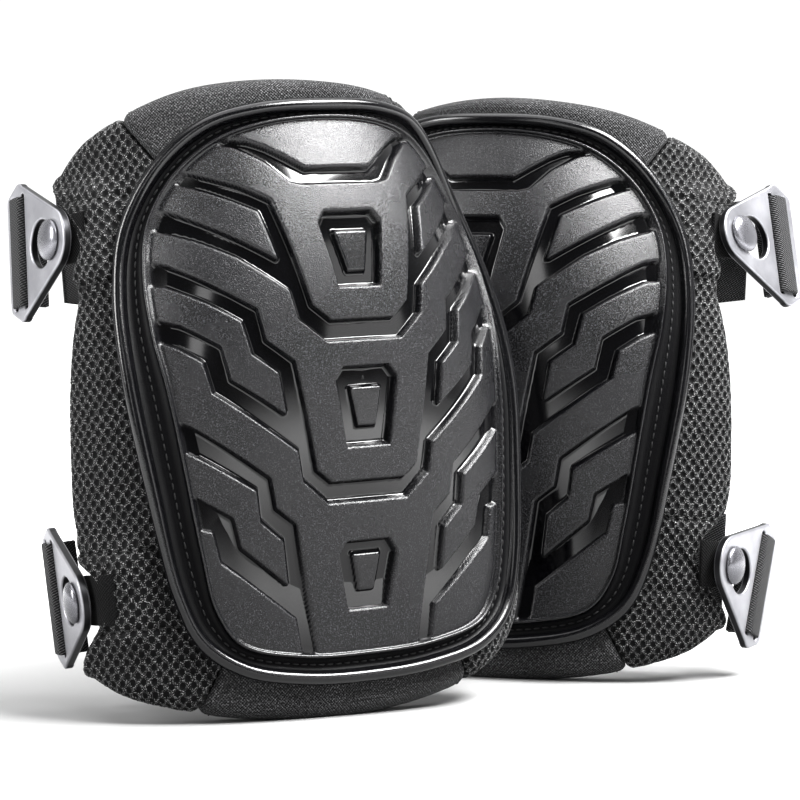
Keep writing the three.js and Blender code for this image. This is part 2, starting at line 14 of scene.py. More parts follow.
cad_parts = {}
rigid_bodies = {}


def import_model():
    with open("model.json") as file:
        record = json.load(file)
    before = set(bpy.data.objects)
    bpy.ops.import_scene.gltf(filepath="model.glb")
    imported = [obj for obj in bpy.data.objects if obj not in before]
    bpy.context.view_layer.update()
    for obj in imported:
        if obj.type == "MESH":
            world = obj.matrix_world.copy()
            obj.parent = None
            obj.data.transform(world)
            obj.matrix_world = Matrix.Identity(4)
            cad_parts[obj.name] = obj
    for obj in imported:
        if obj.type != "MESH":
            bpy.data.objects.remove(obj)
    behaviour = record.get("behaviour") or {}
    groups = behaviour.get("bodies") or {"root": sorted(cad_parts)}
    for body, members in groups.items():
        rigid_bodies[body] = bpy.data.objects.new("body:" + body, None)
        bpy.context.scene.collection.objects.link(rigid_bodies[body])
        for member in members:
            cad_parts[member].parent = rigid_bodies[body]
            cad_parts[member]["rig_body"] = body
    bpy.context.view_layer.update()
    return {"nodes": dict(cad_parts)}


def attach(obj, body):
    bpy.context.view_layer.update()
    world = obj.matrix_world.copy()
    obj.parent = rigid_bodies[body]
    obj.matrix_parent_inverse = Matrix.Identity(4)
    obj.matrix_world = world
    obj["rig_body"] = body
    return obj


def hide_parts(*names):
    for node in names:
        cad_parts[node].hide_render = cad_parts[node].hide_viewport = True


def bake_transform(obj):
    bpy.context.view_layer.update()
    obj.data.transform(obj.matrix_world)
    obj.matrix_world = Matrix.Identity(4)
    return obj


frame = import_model()

# ------------------------------------------------------------ dimensions, as in the CAD
MM = 0.001
GAP = 0.3
LAYER_GAP = 2.7
# Angles in degrees. Each ear is how far the cloth reaches out beside a tab and how far it
# lifts over the tab's root, for the upper tab and the lower one.
PADS = [
    dict(name="left", mirror=-1, body="root", turn=31.7, lean=5.75, tip=-2.35,
         outer_wrap=(82, 70), bulge=4.5, ears=((6.5, 5), (7, 4.2)),
         upper=dict(heading=90.4, roll=4.8, swivel=-4.6, reach=17),
         lower=dict(heading=101.6, roll=-3.3, swivel=2.6, reach=19)),
    dict(name="right", mirror=1, body="right_pad", turn=-20.8, lean=5.75, tip=0.95,
         outer_wrap=(70, 62), bulge=1, ears=((4, 4), (0, 1)),
         upper=dict(heading=68.6, roll=14.7, swivel=-3.6, reach=13.5),
         lower=dict(heading=80.2, roll=-0.2, swivel=-16.5, reach=9)),
]
INNER_WRAP = (88, 88)
WRAP_LENGTH = 115
WRAP_STEPS = 40
POWER_LOW, POWER_HIGH, POWER_FROM, POWER_TO = 2.5, 1.1, -20, 100
FACE_DEPTH = 13.5
FACE_BOW = 0.00043
RIDGE_LINE = [(0, 101), (26, 99), (44, 93.5), (61, 81), (73, 63), (77, 45), (77, 22), (74, 0),
              (71, -25), (66.5, -60), (62, -83), (53, -96), (30, -102.5), (0, -104)]
BEAD_LINE = [(0, 105), (27, 104), (47, 99), (67, 84), (81.5, 62), (87, 38), (87, 4), (81.5, -40),
             (75, -76), (67, -94), (52, -105), (28, -110.5), (0, -112)]
OUTER_LINE = [(0, 116), (40, 113), (62, 109), (82, 103), (104, 94), (118, 80), (103, 67), (98, 57),
              (103, 46), (113, 18), (118, -20), (116, -52), (102, -66), (100, -76.5), (103, -86),
              (118, -95), (102, -109), (78, -118), (45, -125), (0, -128)]
INNER_LINE = [(0, 116), (36, 112.5), (57, 107.5), (76, 98.5), (92, 85), (102, 68), (107, 40), (110, 5),
              (109, -40), (104, -74), (94, -95), (76, -110), (48, -121), (0, -128)]
BODY_TOP, BODY_BOTTOM = 116, -128
CAP_WALL = 2.6
FLANGE_TOP = 1.8  # where the dome reaches the face, above it
CORE_FRONT = 4.3
CORE_MIDDLE, CORE_EDGE = 12, 6.5
LINING = 2.6
PANEL_SEAMS = (52.5, 112.5, 247.5, 300)
STUD_PLACES = dict(upper=(98, 62), lower=(101, -75))
TAB_BEND, TAB_TIP, TAB_HALF, TAB_THICK, TAB_LIFT = 7, 10, 9.5, 1.6, 1.1
CLIP_FLOOR = GAP + TAB_THICK + 1.8
CLIP_THICK = 3.6
SLOTS = ((22.4, 25), (31.3, 33.9))
SLOT_HALF = 22.3
STRAP_WIDTH, STRAP_THICK = 43, 1.6
STRAP_DROP = dict(upper=24, lower=-6)
STRAP_BEHIND = dict(upper=10, lower=3)
HOOK_START, HOOK_LENGTH, HOOK_WIDTH, HOOK_THICK = 26, 30, 38, 1.2
STUD_TIP = CLIP_FLOOR + CLIP_THICK + 0.2 + 3.4
rng = np.random.default_rng(7)


def smooth(x, low, high):
    t = np.clip((x - low) / (high - low), 0, 1)
    return t * t * (3 - 2 * t)


def unit(a):
    return a / np.maximum(np.linalg.norm(a, axis=-1, keepdims=True), 1e-12)


# ------------------------------------------------------------ the pad's shape
class Pad:
    """One pad's frame: how it stands and how its face wraps round the knee."""

    def __init__(self, spec):
        self.__dict__.update(spec)
        lean, tip, turn = (math.radians(a) for a in (-self.lean, self.tip, self.turn))
        self.turning = np.array(
            Matrix.Rotation(turn, 3, "Z") @ Matrix.Rotation(lean, 3, "X") @ Matrix.Rotation(tip, 3, "Y"))
        self.place = np.zeros(3)
        # the stud's tip is one vertex of the CAD solid, so it fixes where the pad stands
        tip_local = self.stud_frame("upper")
        tip_point = tip_local[:3, 3] + tip_local[:3, 2] * STUD_TIP
        axis = self.directions(tip_local[:3, 2])
        node = frame["nodes"][f"{self.name}_upper_stud"]
        cad = np.array([v.co for v in node.data.vertices]) / MM
        self.place = cad[np.argmax(cad @ axis)] - self.directions(tip_point)

    def directions(self, local):
        return (np.asarray(local) * (self.mirror, 1, 1)) @ self.turning.T

    def to_world(self, local):
        """Pad's millimetres to the row's metres."""
        return (self.directions(local) + self.place) * MM

    def above_floor(self, local):
        """As to_world, with nothing below the floor."""
        world = self.to_world(local)
        world[:, 2] = np.maximum(world[:, 2], 0)
        return world

    def heading(self, s, v):
        power = POWER_LOW + (POWER_HIGH - POWER_LOW) * smooth(v, POWER_FROM, POWER_TO)
        down = (BODY_TOP - v) / (BODY_TOP - BODY_BOTTOM)
        outer, inner = self.outer_wrap, INNER_WRAP
        end = np.where(s > 0, outer[0] + (outer[1] - outer[0]) * down,
                       inner[0] + (inner[1] - inner[0]) * down)
        return np.radians(end) * np.minimum(1, np.abs(s) / WRAP_LENGTH) ** power

    def wrap(self, s, v):
        step = s / WRAP_STEPS
        x, y = np.zeros_like(s * v * 1.0), np.zeros_like(s * v * 1.0)
        for i in range(WRAP_STEPS):
            heading = self.heading(step * (i + 0.5), v)
            x = x + step * np.cos(heading)
            y = y + np.abs(step) * np.sin(heading)
        return x, y

    def face(self, s, v, depth=0.0):
        s, v = np.asarray(s, float), np.asarray(v, float)
        x, y = self.wrap(s, v)
        heading = self.heading(s, v)
        return np.stack([x - np.sign(s) * np.sin(heading) * depth,
                         FACE_DEPTH + y + FACE_BOW * v * v + np.cos(heading) * depth,
                         v + 0 * x], axis=-1)

    def tab_frame(self, part, past):
        edge, height = STUD_PLACES[part]
        spec = getattr(self, part)
        start, end = float(self.heading(edge, height)), math.radians(spec["heading"])

        def at(distance):
            return start + (end - start) * min(1, distance / TAB_BEND)

        origin = self.face(edge, height)
        steps = 12
        for i in range(steps):
            there = at(past * (i + 0.5) / steps)
            origin = origin + np.array([math.cos(there), math.sin(there), 0]) * past / steps
        p = Vector((math.cos(at(past)), math.sin(at(past)), 0))
        q = Vector((0, 0, 1))
        q.rotate(Matrix.Rotation(-math.radians(spec["roll"]) * min(1, past / TAB_BEND), 3, p))
        made = np.eye(4)
        made[:3, 0], made[:3, 1], made[:3, 2], made[:3, 3] = p, q, p.cross(q), origin
        return made

    def stud_frame(self, part):
        return self.tab_frame(part, getattr(self, part)["reach"])

    def clip_frame(self, part):
        swivel = np.array(Matrix.Rotation(math.radians(getattr(self, part)["swivel"]), 4, "Z"))
        return self.stud_frame(part) @ swivel


def placed(matrix, points):
    """Points in a stud's or clip's frame, taken to the pad's frame."""
    return np.asarray(points, float) @ matrix[:3, :3].T + matrix[:3, 3]


def catmull(points, closed, count):
    """Points along a centripetal Catmull-Rom curve, evenly in its own parameter."""
    points = np.asarray(points, float)
    n = len(points)
    segments = n if closed else n - 1
    made = []
    for k in np.arange(count) * segments / (count if closed else count - 1):
        i = min(int(k), segments - 1)
        w = k - i

        def point(j):
            if closed:
                return points[j % n]
            if j < 0:
                return 2 * points[0] - points[1]
            return points[j] if j < n else 2 * points[-1] - points[-2]

        p0, p1, p2, p3 = point(i - 1), point(i), point(i + 1), point(i + 2)
        d0, d1, d2 = (max(np.linalg.norm(b - a) ** 0.5, 1e-4) for a, b in ((p0, p1), (p1, p2), (p2, p3)))
        t1 = ((p1 - p0) / d0 - (p2 - p0) / (d0 + d1) + (p2 - p1) / d1) * d1
        t2 = ((p2 - p1) / d1 - (p3 - p1) / (d1 + d2) + (p3 - p2) / d2) * d1
        made.append(p1 + t1 * w + (3 * (p2 - p1) - 2 * t1 - t2) * w * w + (2 * (p1 - p2) + t1 + t2) * w ** 3)
    return np.array(made)


def evenly(points, count):
    """The polyline resampled to points the same distance apart."""
    length = np.concatenate([[0], np.cumsum(np.linalg.norm(np.diff(points, axis=0), axis=1))])
    wanted = np.linspace(0, length[-1], count)
    return np.stack([np.interp(wanted, length, points[:, k]) for k in range(3)], axis=1), length[-1]


def outline(half, other=None):
    """Radius of a closed outline as a function of the angle round it, in radians."""
    other = half if other is None else other
    fine = catmull(half + [(-s, v) for s, v in other[1:-1][::-1]], True, 4000)
    angles = np.arctan2(fine[:, 1], fine[:, 0])
    order = np.argsort(angles)
    angles, radii = angles[order], np.hypot(fine[:, 0], fine[:, 1])[order]

    def radius(theta):
        return np.interp(theta, angles, radii, period=2 * math.pi)

    return radius


ridge_radius = outline(RIDGE_LINE)
bead_radius = outline(BEAD_LINE)
body_radius = outline(OUTER_LINE, INNER_LINE)


# ------------------------------------------------------------ mesh making
def ring_faces(rings, around, start=0):
    i, j = np.meshgrid(np.arange(rings - 1), np.arange(around), indexing="ij")
    a, b = start + i * around + j, start + i * around + (j + 1) % around
    return np.stack([a, b, b + around, a + around], axis=-1).reshape(-1, 4)


def grid_faces(rows, columns, start=0):
    i, j = np.meshgrid(np.arange(rows - 1), np.arange(columns - 1), indexing="ij")
    a = start + i * columns + j
    return np.stack([a, a + 1, a + columns + 1, a + columns], axis=-1).reshape(-1, 4)


def end_fans(count, front, back):
    """Triangles that close two open rings. Each end is its tip and its ring's first point."""
    made = []
    for j in range(count):
        k = (j + 1) % count
        made.append([front[0], front[1] + k, front[1] + j])
        made.append([back[0], back[1] + j, back[1] + k])
    return made


def link(made):
    bpy.context.scene.collection.objects.link(made)
    return made


def volume(points, faces):
    """Six times the volume inside: only its sign is used."""
    total = 0.0
    for a, b, c in ((0, 1, 2), (0, 2, 3)):
        chosen = faces if b < 2 else [f for f in faces if len(f) > 3]
        corners = np.array([[f[a], f[b], f[c]] for f in chosen])
        if len(corners):
            p = points[corners]
            total += np.einsum("ij,ij->i", p[:, 0], np.cross(p[:, 1], p[:, 2])).sum()
    return total


def outward_mesh(name, points, faces):
    """A mesh whose faces look out."""
    if volume(points - points.mean(0), faces) < 0:
        faces = [f[::-1] for f in faces]
    mesh = bpy.data.meshes.new(name)
    mesh.from_pydata(points.tolist(), [], faces)
    return mesh


def build(name, points, faces, material, attributes=None):
    """A mesh object facing out, from points in metres."""
    points = np.asarray(points, float)
    mesh = outward_mesh(name, points, [list(map(int, f)) for f in faces])
    mesh.polygons.foreach_set("use_smooth", [True] * len(mesh.polygons))
    for key, values in (attributes or {}).items():
        values = np.asarray(values, np.float32)
        if values.ndim == 1:
            mesh.attributes.new(key, "FLOAT", "POINT").data.foreach_set("value", values)
        else:
            mesh.attributes.new(key, "FLOAT_VECTOR", "POINT").data.foreach_set("vector", values.ravel())
    mesh.materials.append(material)
    mesh.validate()
    return link(bpy.data.objects.new(name, mesh))


def add_piece(pad, name, points, faces, material, nodes=(), attributes=None):
    """Builds one of a pad's pieces. It rides with the body of the nodes that it stands for."""
    piece = build(f"{pad.name}_{name}", points, faces, material, attributes)
    nodes = [f"{pad.name}_{node}" for node in nodes]
    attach(piece, frame["nodes"][nodes[0]]["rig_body"] if nodes else pad.body)
    if nodes:
        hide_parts(*nodes)
    return piece


def refine(grid, factor, axis):
    """Catmull-Rom points between a grid's rows, or its columns."""
    g = np.moveaxis(grid, axis, 0)
    before = np.concatenate([2 * g[:1] - g[1:2], g[:-2]])
    after = np.concatenate([g[2:], 2 * g[-1:] - g[-2:-1]])
    p1, p2 = g[:-1], g[1:]
    rows = []
    for k in range(factor):
        t = k / factor
        rows.append(0.5 * (2 * p1 + (p2 - before) * t + (2 * before - 5 * p1 + 4 * p2 - after) * t * t
                           + (3 * p1 - before - 3 * p2 + after) * t ** 3))
    fine = np.stack(rows, axis=1).reshape(-1, *g.shape[1:])
    return np.moveaxis(np.concatenate([fine, g[-1:]]), 0, axis)


def refine_both(grid, factor):
    return refine(refine(grid, factor, 0), factor, 1)


def grid_normals(grid):
    return unit(np.cross(np.gradient(grid, axis=1), np.gradient(grid, axis=0)))


def outward(normals, grid, centre):
    """The normals, turned round if most of them point to the centre."""
    return -normals if np.einsum("ijk,ijk->ij", normals, grid - centre).mean() < 0 else normals


def shell(outer, inner, factor):
    """A closed sheet of cloth: a fine outer grid and a coarse inner one, joined round the edge.
    outer has factor times as many steps each way as inner."""
    rows, columns = outer.shape[:2]
    inner_rows, inner_columns = inner.shape[:2]
    points = np.concatenate([outer.reshape(-1, 3), inner.reshape(-1, 3)])
    start = rows * columns
    faces = [*grid_faces(rows, columns), *grid_faces(inner_rows, inner_columns, start)[:, ::-1]]
    loop = [(0, j) for j in range(columns)]
    loop += [(i, columns - 1) for i in range(1, rows)]
    loop += [(rows - 1, j) for j in range(columns - 2, -1, -1)]
    loop += [(i, 0) for i in range(rows - 2, 0, -1)]
    count = len(loop)
    for k in range(0, count, factor):
        (i0, j0), (i1, j1) = loop[k], loop[(k + factor) % count]
        a = start + (i0 // factor) * inner_columns + j0 // factor
        b = start + (i1 // factor) * inner_columns + j1 // factor
        fine = [loop[(k + m) % count] for m in range(factor + 1)]
        fine = [i * columns + j for i, j in fine]
        half = factor // 2
        faces += [[fine[m + 1], fine[m], a] for m in range(half)]
        faces.append([fine[half], a, b])
        faces += [[fine[m + 1], fine[m], b] for m in range(half, factor)]
    return points, faces


def lathe(profile, around):
    """A closed solid round h from (radius, h) pairs whose ends lie on the axis."""
    angles = np.arange(around) * 2 * math.pi / around
    rings = [np.stack([r * np.cos(angles), r * np.sin(angles), np.full(around, h)], 1)
             for r, h in profile[1:-1]]
    points = np.concatenate([[[0, 0, profile[0][1]]], *rings, [[0, 0, profile[-1][1]]]])
    last = len(points) - 1
    faces = [*ring_faces(len(rings), around, 1), *end_fans(around, (0, 1), (last, last - around))]
    return points, faces


def ribbon(centre, across, normal, width, thickness, corner, flat=7):
    """A flat strap along centre, with rounded sides: points, faces and cloth coordinates."""
    half, t = width / 2, thickness / 2
    round_part = [(half - corner + corner * math.sin(a), t - corner + corner * math.cos(a))
                  for a in np.linspace(0, math.pi / 2, 4)]
    side = round_part + [(x, -y) for x, y in round_part[::-1]]
    top = [(x, t) for x in np.linspace(-half + corner, half - corner, flat)[1:-1]]
    section = top + side + [(-x, -y) for x, y in top] + [(-x, -y) for x, y in side]
    section = np.array(section)
    rings = (centre[:, None] + across[:, None] * section[None, :, :1]
             + normal[:, None] * section[None, :, 1:])
    along = np.concatenate([[0], np.cumsum(np.linalg.norm(np.diff(centre, axis=0), axis=1))])
    girth = section[None, :, 0] + section[None, :, 1]
    cloth = np.stack(np.broadcast_arrays(along[:, None], girth, 0.0), -1)
    n, m = rings.shape[:2]
    points = np.concatenate([rings.reshape(-1, 3), centre[:1], centre[-1:]])
    faces = [*ring_faces(n, m), *end_fans(m, (n * m, 0), (n * m + 1, (n - 1) * m))]
    cloth = np.concatenate([cloth.reshape(-1, 3), [[0, 0, 0], [along[-1], 0, 0]]])
    return points, faces, cloth


def threads(rows, length, gap, radius):
    """Stitches along polylines in millimetres: each row is (points, normals)."""
    all_points, all_faces, count = [], [], 0
    around = 6
    # each ring of a stitch: how far from its middle, and how thick there
    shares = [(-1.0, 0.35), (-0.72, 0.86), (0, 1.0), (0.72, 0.86), (1.0, 0.35)]
    for line, normals in rows:
        steps = np.linalg.norm(np.diff(line, axis=0), axis=1)
        at = np.concatenate([[0], np.cumsum(steps)])
        number = int(at[-1] / (length + gap))
        if number < 1:
            continue
        for k in range(number):
            middle = (k + 0.5) * at[-1] / number
            pick = [np.array([np.interp(middle + d, at, arr[:, c]) for c in range(3)])
                    for arr, d in ((line, 0), (line, 0.4), (line, -0.4), (normals, 0))]
            centre, direction, out = pick[0], unit(pick[1] - pick[2]), unit(pick[3])
            side = unit(np.cross(direction, out))
            direction = unit(direction + side * rng.uniform(-0.07, 0.07))
            side = unit(np.cross(direction, out))
            for share, swell in shares:
                sink = out * (0.18 - 0.42 * share * share) * radius * 2
                for j in range(around):
                    a = 2 * math.pi * j / around
                    all_points.append(centre + direction * share * length / 2 + sink
                                      + (side * math.cos(a) + out * math.sin(a)) * radius * swell)
            all_faces += (ring_faces(len(shares), around, count)).tolist()
            last = count + around * (len(shares) - 1)
            all_faces.append([count + j for j in range(around)][::-1])
            all_faces.append([last + j for j in range(around)])
            count += around * len(shares)
    return np.array(all_points), all_faces


# ------------------------------------------------------------ materials
def new_material(name):
    material = bpy.data.materials.new(name)
    material.use_nodes = True
    tree = material.node_tree
    return material, tree, tree.nodes["Principled BSDF"]


def value_math(tree, operation, a, b=None, c=None):
    node = tree.nodes.new("ShaderNodeMath")
    node.operation = operation
    for index, value in enumerate((a, b, c)):
        if value is None:
            continue
        if isinstance(value, (int, float)):
            node.inputs[index].default_value = value
        else:
            tree.links.new(value, node.inputs[index])
    return node.outputs[0]


def noise(tree, vector, scale, detail=3.0, roughness=0.55):
    node = tree.nodes.new("ShaderNodeTexNoise")
    node.inputs["Scale"].default_value = scale
    node.inputs["Detail"].default_value = detail
    node.inputs["Roughness"].default_value = roughness
    tree.links.new(vector, node.inputs["Vector"])
    return node.outputs["Fac"]


def remap(tree, value, from_low, from_high, to_low, to_high, interpolation="LINEAR"):
    node = tree.nodes.new("ShaderNodeMapRange")
    node.interpolation_type = interpolation
    for index, number in enumerate((from_low, from_high, to_low, to_high)):
        node.inputs[1 + index].default_value = number
    tree.links.new(value, node.inputs["Value"])
    return node.outputs["Result"]


def blend_colors(tree, factor, a, b):
    node = tree.nodes.new("ShaderNodeMix")
    node.data_type = "RGBA"
    tree.links.new(factor, node.inputs["Factor"])
    for socket, color in ((node.inputs[6], a), (node.inputs[7], b)):
        if isinstance(color, tuple):
            socket.default_value = (*color, 1)
        else:
            tree.links.new(color, socket)
    return node.outputs[2]


def bump(tree, shader, height, distance, strength):
    node = tree.nodes.new("ShaderNodeBump")
    node.inputs["Strength"].default_value = strength
    node.inputs["Distance"].default_value = distance
    tree.links.new(height, node.inputs["Height"])
    tree.links.new(node.outputs["Normal"], shader.inputs["Normal"])


def paint(tree, shader, color, **plain):
    """Links the colour, and sets numbers that are the same all over on their own sockets."""
    tree.links.new(color, shader.inputs["Base Color"])
    for socket, number in plain.items():
        shader.inputs[socket.replace("_", " ").title().replace("Ior", "IOR")].default_value = number


def object_coordinates(tree):
    return tree.nodes.new("ShaderNodeTexCoord").outputs["Object"]


def attribute(tree, name, output="Vector"):
    node = tree.nodes.new("ShaderNodeAttribute")
    node.attribute_name = name
    return node.outputs[output]


def cloth_axes(tree):
    """The cloth coordinates in millimetres: along one thread, and across it."""
    split = tree.nodes.new("ShaderNodeSeparateXYZ")
    vector = attribute(tree, "cloth")
    tree.links.new(vector, split.inputs[0])
    return vector, split.outputs[0], split.outputs[1]


def wave(tree, value, pitch, phase=0.0):
    """Between -1 and 1, once every pitch millimetres."""
    turned = value_math(tree, "MULTIPLY_ADD", value, 2 * math.pi / pitch, phase)
    return value_math(tree, "SINE", turned)


def cap_material():
    material, tree, shader = new_material("moulded_cap")
    where = object_coordinates(tree)
    relief = attribute(tree, "relief", "Fac")
    patches = noise(tree, where, 22, 4)
    grain = noise(tree, where, 2100, 2, 0.7)
    color = blend_colors(tree, relief, (0.0015, 0.0015, 0.002), (0.0025, 0.0025, 0.0032))
    worn = value_math(tree, "MULTIPLY", remap(tree, patches, 0.45, 0.8, 0, 0.5), relief)
    color = blend_colors(tree, worn, color, (0.006, 0.006, 0.0075))
    # Light specks where the plates' grain peaks: painted glints.
    grain_glint = remap(tree, grain, 0.55, 0.68, 0, 1)
    color = blend_colors(tree, value_math(tree, "MULTIPLY", grain_glint, relief), color, (0.05, 0.05, 0.055))
    tree.links.new(color, shader.inputs["Base Color"])
    rough = value_math(tree, "MULTIPLY_ADD", relief, 0.15, 0.11)
    rough = value_math(tree, "ADD", rough, remap(tree, patches, 0.3, 0.7, -0.03, 0.05))
    # Where relief is below 0 (the trough), the colour stays the grooves' near-black and the surface is made
    # matt and barely reflective: painted shade for the deep trough.
    trough = remap(tree, relief, -1, 0, 1, 0)
    tree.links.new(value_math(tree, "MULTIPLY_ADD", trough, 0.6, rough), shader.inputs["Roughness"])
    tree.links.new(remap(tree, trough, 0, 1, 0.5, 0.08), shader.inputs["Specular IOR Level"])
    height = value_math(tree, "MULTIPLY", grain, relief)
    bump(tree, shader, height, 0.00025, 0.8)
    return material


HOLE_PITCH, HOLE_ROW, HOLE_HALF_WIDTH, HOLE_HALF_HEIGHT = 4.2, 2.6, 1.12, 1.6


def hole_measure(a, b):
    """Below 1 inside a hole of the net, above it on the yarn. The holes are pointed hexagons."""
    best = None
    for shift_a, shift_b in ((0, 0), (HOLE_PITCH / 2, HOLE_ROW)):
        da = (a - shift_a) - HOLE_PITCH * np.round((a - shift_a) / HOLE_PITCH)
        db = (b - shift_b) - 2 * HOLE_ROW * np.round((b - shift_b) / (2 * HOLE_ROW))
        wide = np.abs(da) / HOLE_HALF_WIDTH
        measure = np.maximum(wide, 0.5 * wide + np.abs(db) / HOLE_HALF_HEIGHT)
        best = measure if best is None else np.minimum(best, measure)
    return best


def hole_measure_nodes(tree, a, b):
    best = None
    for shift_a, shift_b in ((0, 0), (HOLE_PITCH / 2, HOLE_ROW)):
        parts = []
        for value, shift, period in ((a, shift_a, HOLE_PITCH), (b, shift_b, 2 * HOLE_ROW)):
            moved = value_math(tree, "SUBTRACT", value, shift)
            whole = value_math(tree, "ROUND", value_math(tree, "DIVIDE", moved, period))
            parts.append(value_math(tree, "ABSOLUTE", value_math(
                tree, "SUBTRACT", moved, value_math(tree, "MULTIPLY", whole, period))))
        wide = value_math(tree, "DIVIDE", parts[0], HOLE_HALF_WIDTH)
        slanted = value_math(tree, "MULTIPLY_ADD", wide, 0.5,
                             value_math(tree, "DIVIDE", parts[1], HOLE_HALF_HEIGHT))
        measure = value_math(tree, "MAXIMUM", wide, slanted)
        best = measure if best is None else value_math(tree, "MINIMUM", best, measure)
    return best


def gray(level, blue):
    return level, level, blue


NEARLY_BLACK = gray(0.001, 0.0012)  # the black of the threads, and the painted shade between them


def air_mesh_material():
    material, tree, shader = new_material("air_mesh")
    vector, a, b = cloth_axes(tree)
    measure = hole_measure_nodes(tree, a, b)
    yarn = remap(tree, measure, 0.85, 1.12, 0, 1, "SMOOTHSTEP")
    fibre = noise(tree, vector, 1.9, 3, 0.75)
    loops = value_math(tree, "MULTIPLY", wave(tree, value_math(tree, "ADD", a, b), 0.95),
                       wave(tree, value_math(tree, "SUBTRACT", a, b), 0.95))
    # Fibre streaks coloured far lighter than the black yarn, varied along the knit's loops: painted
    # highlights on the filaments.
    light = remap(tree, fibre, 0.53, 0.62, 0, 1)
    filament_highlight = value_math(tree, "MULTIPLY", light, remap(tree, loops, -0.6, 0.9, 0.35, 1))
    color = blend_colors(tree, filament_highlight, NEARLY_BLACK, gray(0.6, 0.605))
    color = blend_colors(tree, yarn, gray(0.0012, 0.0014), color)
    paint(tree, shader, color, roughness=0.6, specular_ior_level=0.12, sheen_weight=0.08)
    height = value_math(tree, "MULTIPLY_ADD", loops, 0.35, fibre)
    height = value_math(tree, "MULTIPLY", height, yarn)
    bump(tree, shader, height, 0.0004, 0.8)
    return material


def weave_material(name, pitch, dark, light, roughness, sheen, depth):
    """A plain weave: warp and weft cross over and under."""
    material, tree, shader = new_material(name)
    vector, a, b = cloth_axes(tree)
    warp, weft = wave(tree, a, pitch), wave(tree, b, pitch, 0.4)
    over = value_math(tree, "MULTIPLY", warp, weft)
    fibre = noise(tree, vector, 2.6 / pitch, 3, 0.65)
    height = value_math(tree, "MULTIPLY_ADD", fibre, 0.8, over)
    slubs = remap(tree, noise(tree, vector, 1.1, 3, 0.8), 0.45, 0.64, 0.1, 1.3)
    # The raised threads are coloured towards the light colour and the dips between them towards the dark one:
    # painted highlight on the threads and painted shade between them. Slubs and patches vary it at random.
    shade = value_math(tree, "MULTIPLY", remap(tree, height, -0.5, 1.5, 0, 1), slubs)
    patches = remap(tree, noise(tree, vector, 0.05, 3), 0.3, 0.7, 0.75, 1.1)
    color = blend_colors(tree, value_math(tree, "MULTIPLY", shade, patches), dark, light)
    paint(tree, shader, color, roughness=roughness, specular_ior_level=0.15, sheen_weight=sheen)
    bump(tree, shader, height, depth, 0.9)
    return material


def twill_material():
    """Elastic webbing: diagonal ribs, broken along their length where the threads cross."""
    material, tree, shader = new_material("twill_webbing")
    vector, a, b = cloth_axes(tree)
    slanted = value_math(tree, "MULTIPLY_ADD", a, 0.62, b)
    ribs = wave(tree, slanted, 1.0)
    breaks = wave(tree, value_math(tree, "MULTIPLY_ADD", b, -0.5, a), 1.25)
    fibre = noise(tree, vector, 5, 3, 0.7)
    height = value_math(tree, "MULTIPLY_ADD", breaks, 0.35, ribs)
    height = value_math(tree, "MULTIPLY_ADD", fibre, 0.6, height)
    # The ribs' raised parts are coloured light and their hollows near-black: painted highlight on the ribs
    # and painted shade between them.
    shade = remap(tree, height, 0.1, 1.7, 0, 1)
    color = blend_colors(tree, shade, NEARLY_BLACK, gray(0.12, 0.124))
    paint(tree, shader, color, roughness=0.7, specular_ior_level=0.15, sheen_weight=0.1)
    bump(tree, shader, height, 0.0003, 0.9)
    return material


def rough_by(tree, shader, patches, grain, middle, spread):
    """Roughness that varies with broad patches and a fine grain."""
    rough = value_math(tree, "ADD", remap(tree, patches, 0.3, 0.7, middle - spread, middle + spread),
                       remap(tree, grain, 0.3, 0.7, -0.04, 0.04))
    tree.links.new(rough, shader.inputs["Roughness"])


def plastic_material(name, low, high, roughness, scale, grain_depth):
    material, tree, shader = new_material(name)
    where = object_coordinates(tree)
    patches = noise(tree, where, scale, 4)
    grain = noise(tree, where, 3200, 2, 0.6)
    color = blend_colors(tree, remap(tree, patches, 0.3, 0.7, 0, 1), low, high)
    paint(tree, shader, color)
    rough_by(tree, shader, patches, grain, roughness, 0.05)
    bump(tree, shader, grain, grain_depth, 0.4)
    return material


def metal_material(name, low, high, roughness):
    """Satin plated metal whose sides are coloured near-black, far darker than its faces: painted shade on the
    walls.
    """
    material, tree, shader = new_material(name)
    where = object_coordinates(tree)
    patches = noise(tree, where, 45, 4)
    brushed = noise(tree, where, 1500, 3, 0.7)
    shader.inputs["Metallic"].default_value = 0.75
    color = blend_colors(tree, remap(tree, patches, 0.3, 0.7, 0, 1), low, high)
    # The sides, where the side attribute is 1, are coloured near-black: painted shade on the clip's walls.
    color = blend_colors(tree, attribute(tree, "side", "Fac"), color, (0.012, 0.012, 0.0135))
    paint(tree, shader, color)
    rough_by(tree, shader, patches, brushed, roughness, 0.06)
    bump(tree, shader, brushed, 0.00002, 0.2)
    return material


def steel_material():
    material, tree, shader = new_material("pressed_steel")
    where = object_coordinates(tree)
    scratches = noise(tree, where, 900, 5, 0.75)
    shader.inputs["Metallic"].default_value = 1
    color = blend_colors(tree, scratches, (0.42, 0.42, 0.43), (0.62, 0.62, 0.63))
    tree.links.new(color, shader.inputs["Base Color"])
    tree.links.new(remap(tree, scratches, 0.3, 0.7, 0.26, 0.42), shader.inputs["Roughness"])
    bump(tree, shader, scratches, 0.00006, 0.5)
    return material


CAP = cap_material()
AIR_MESH = air_mesh_material()
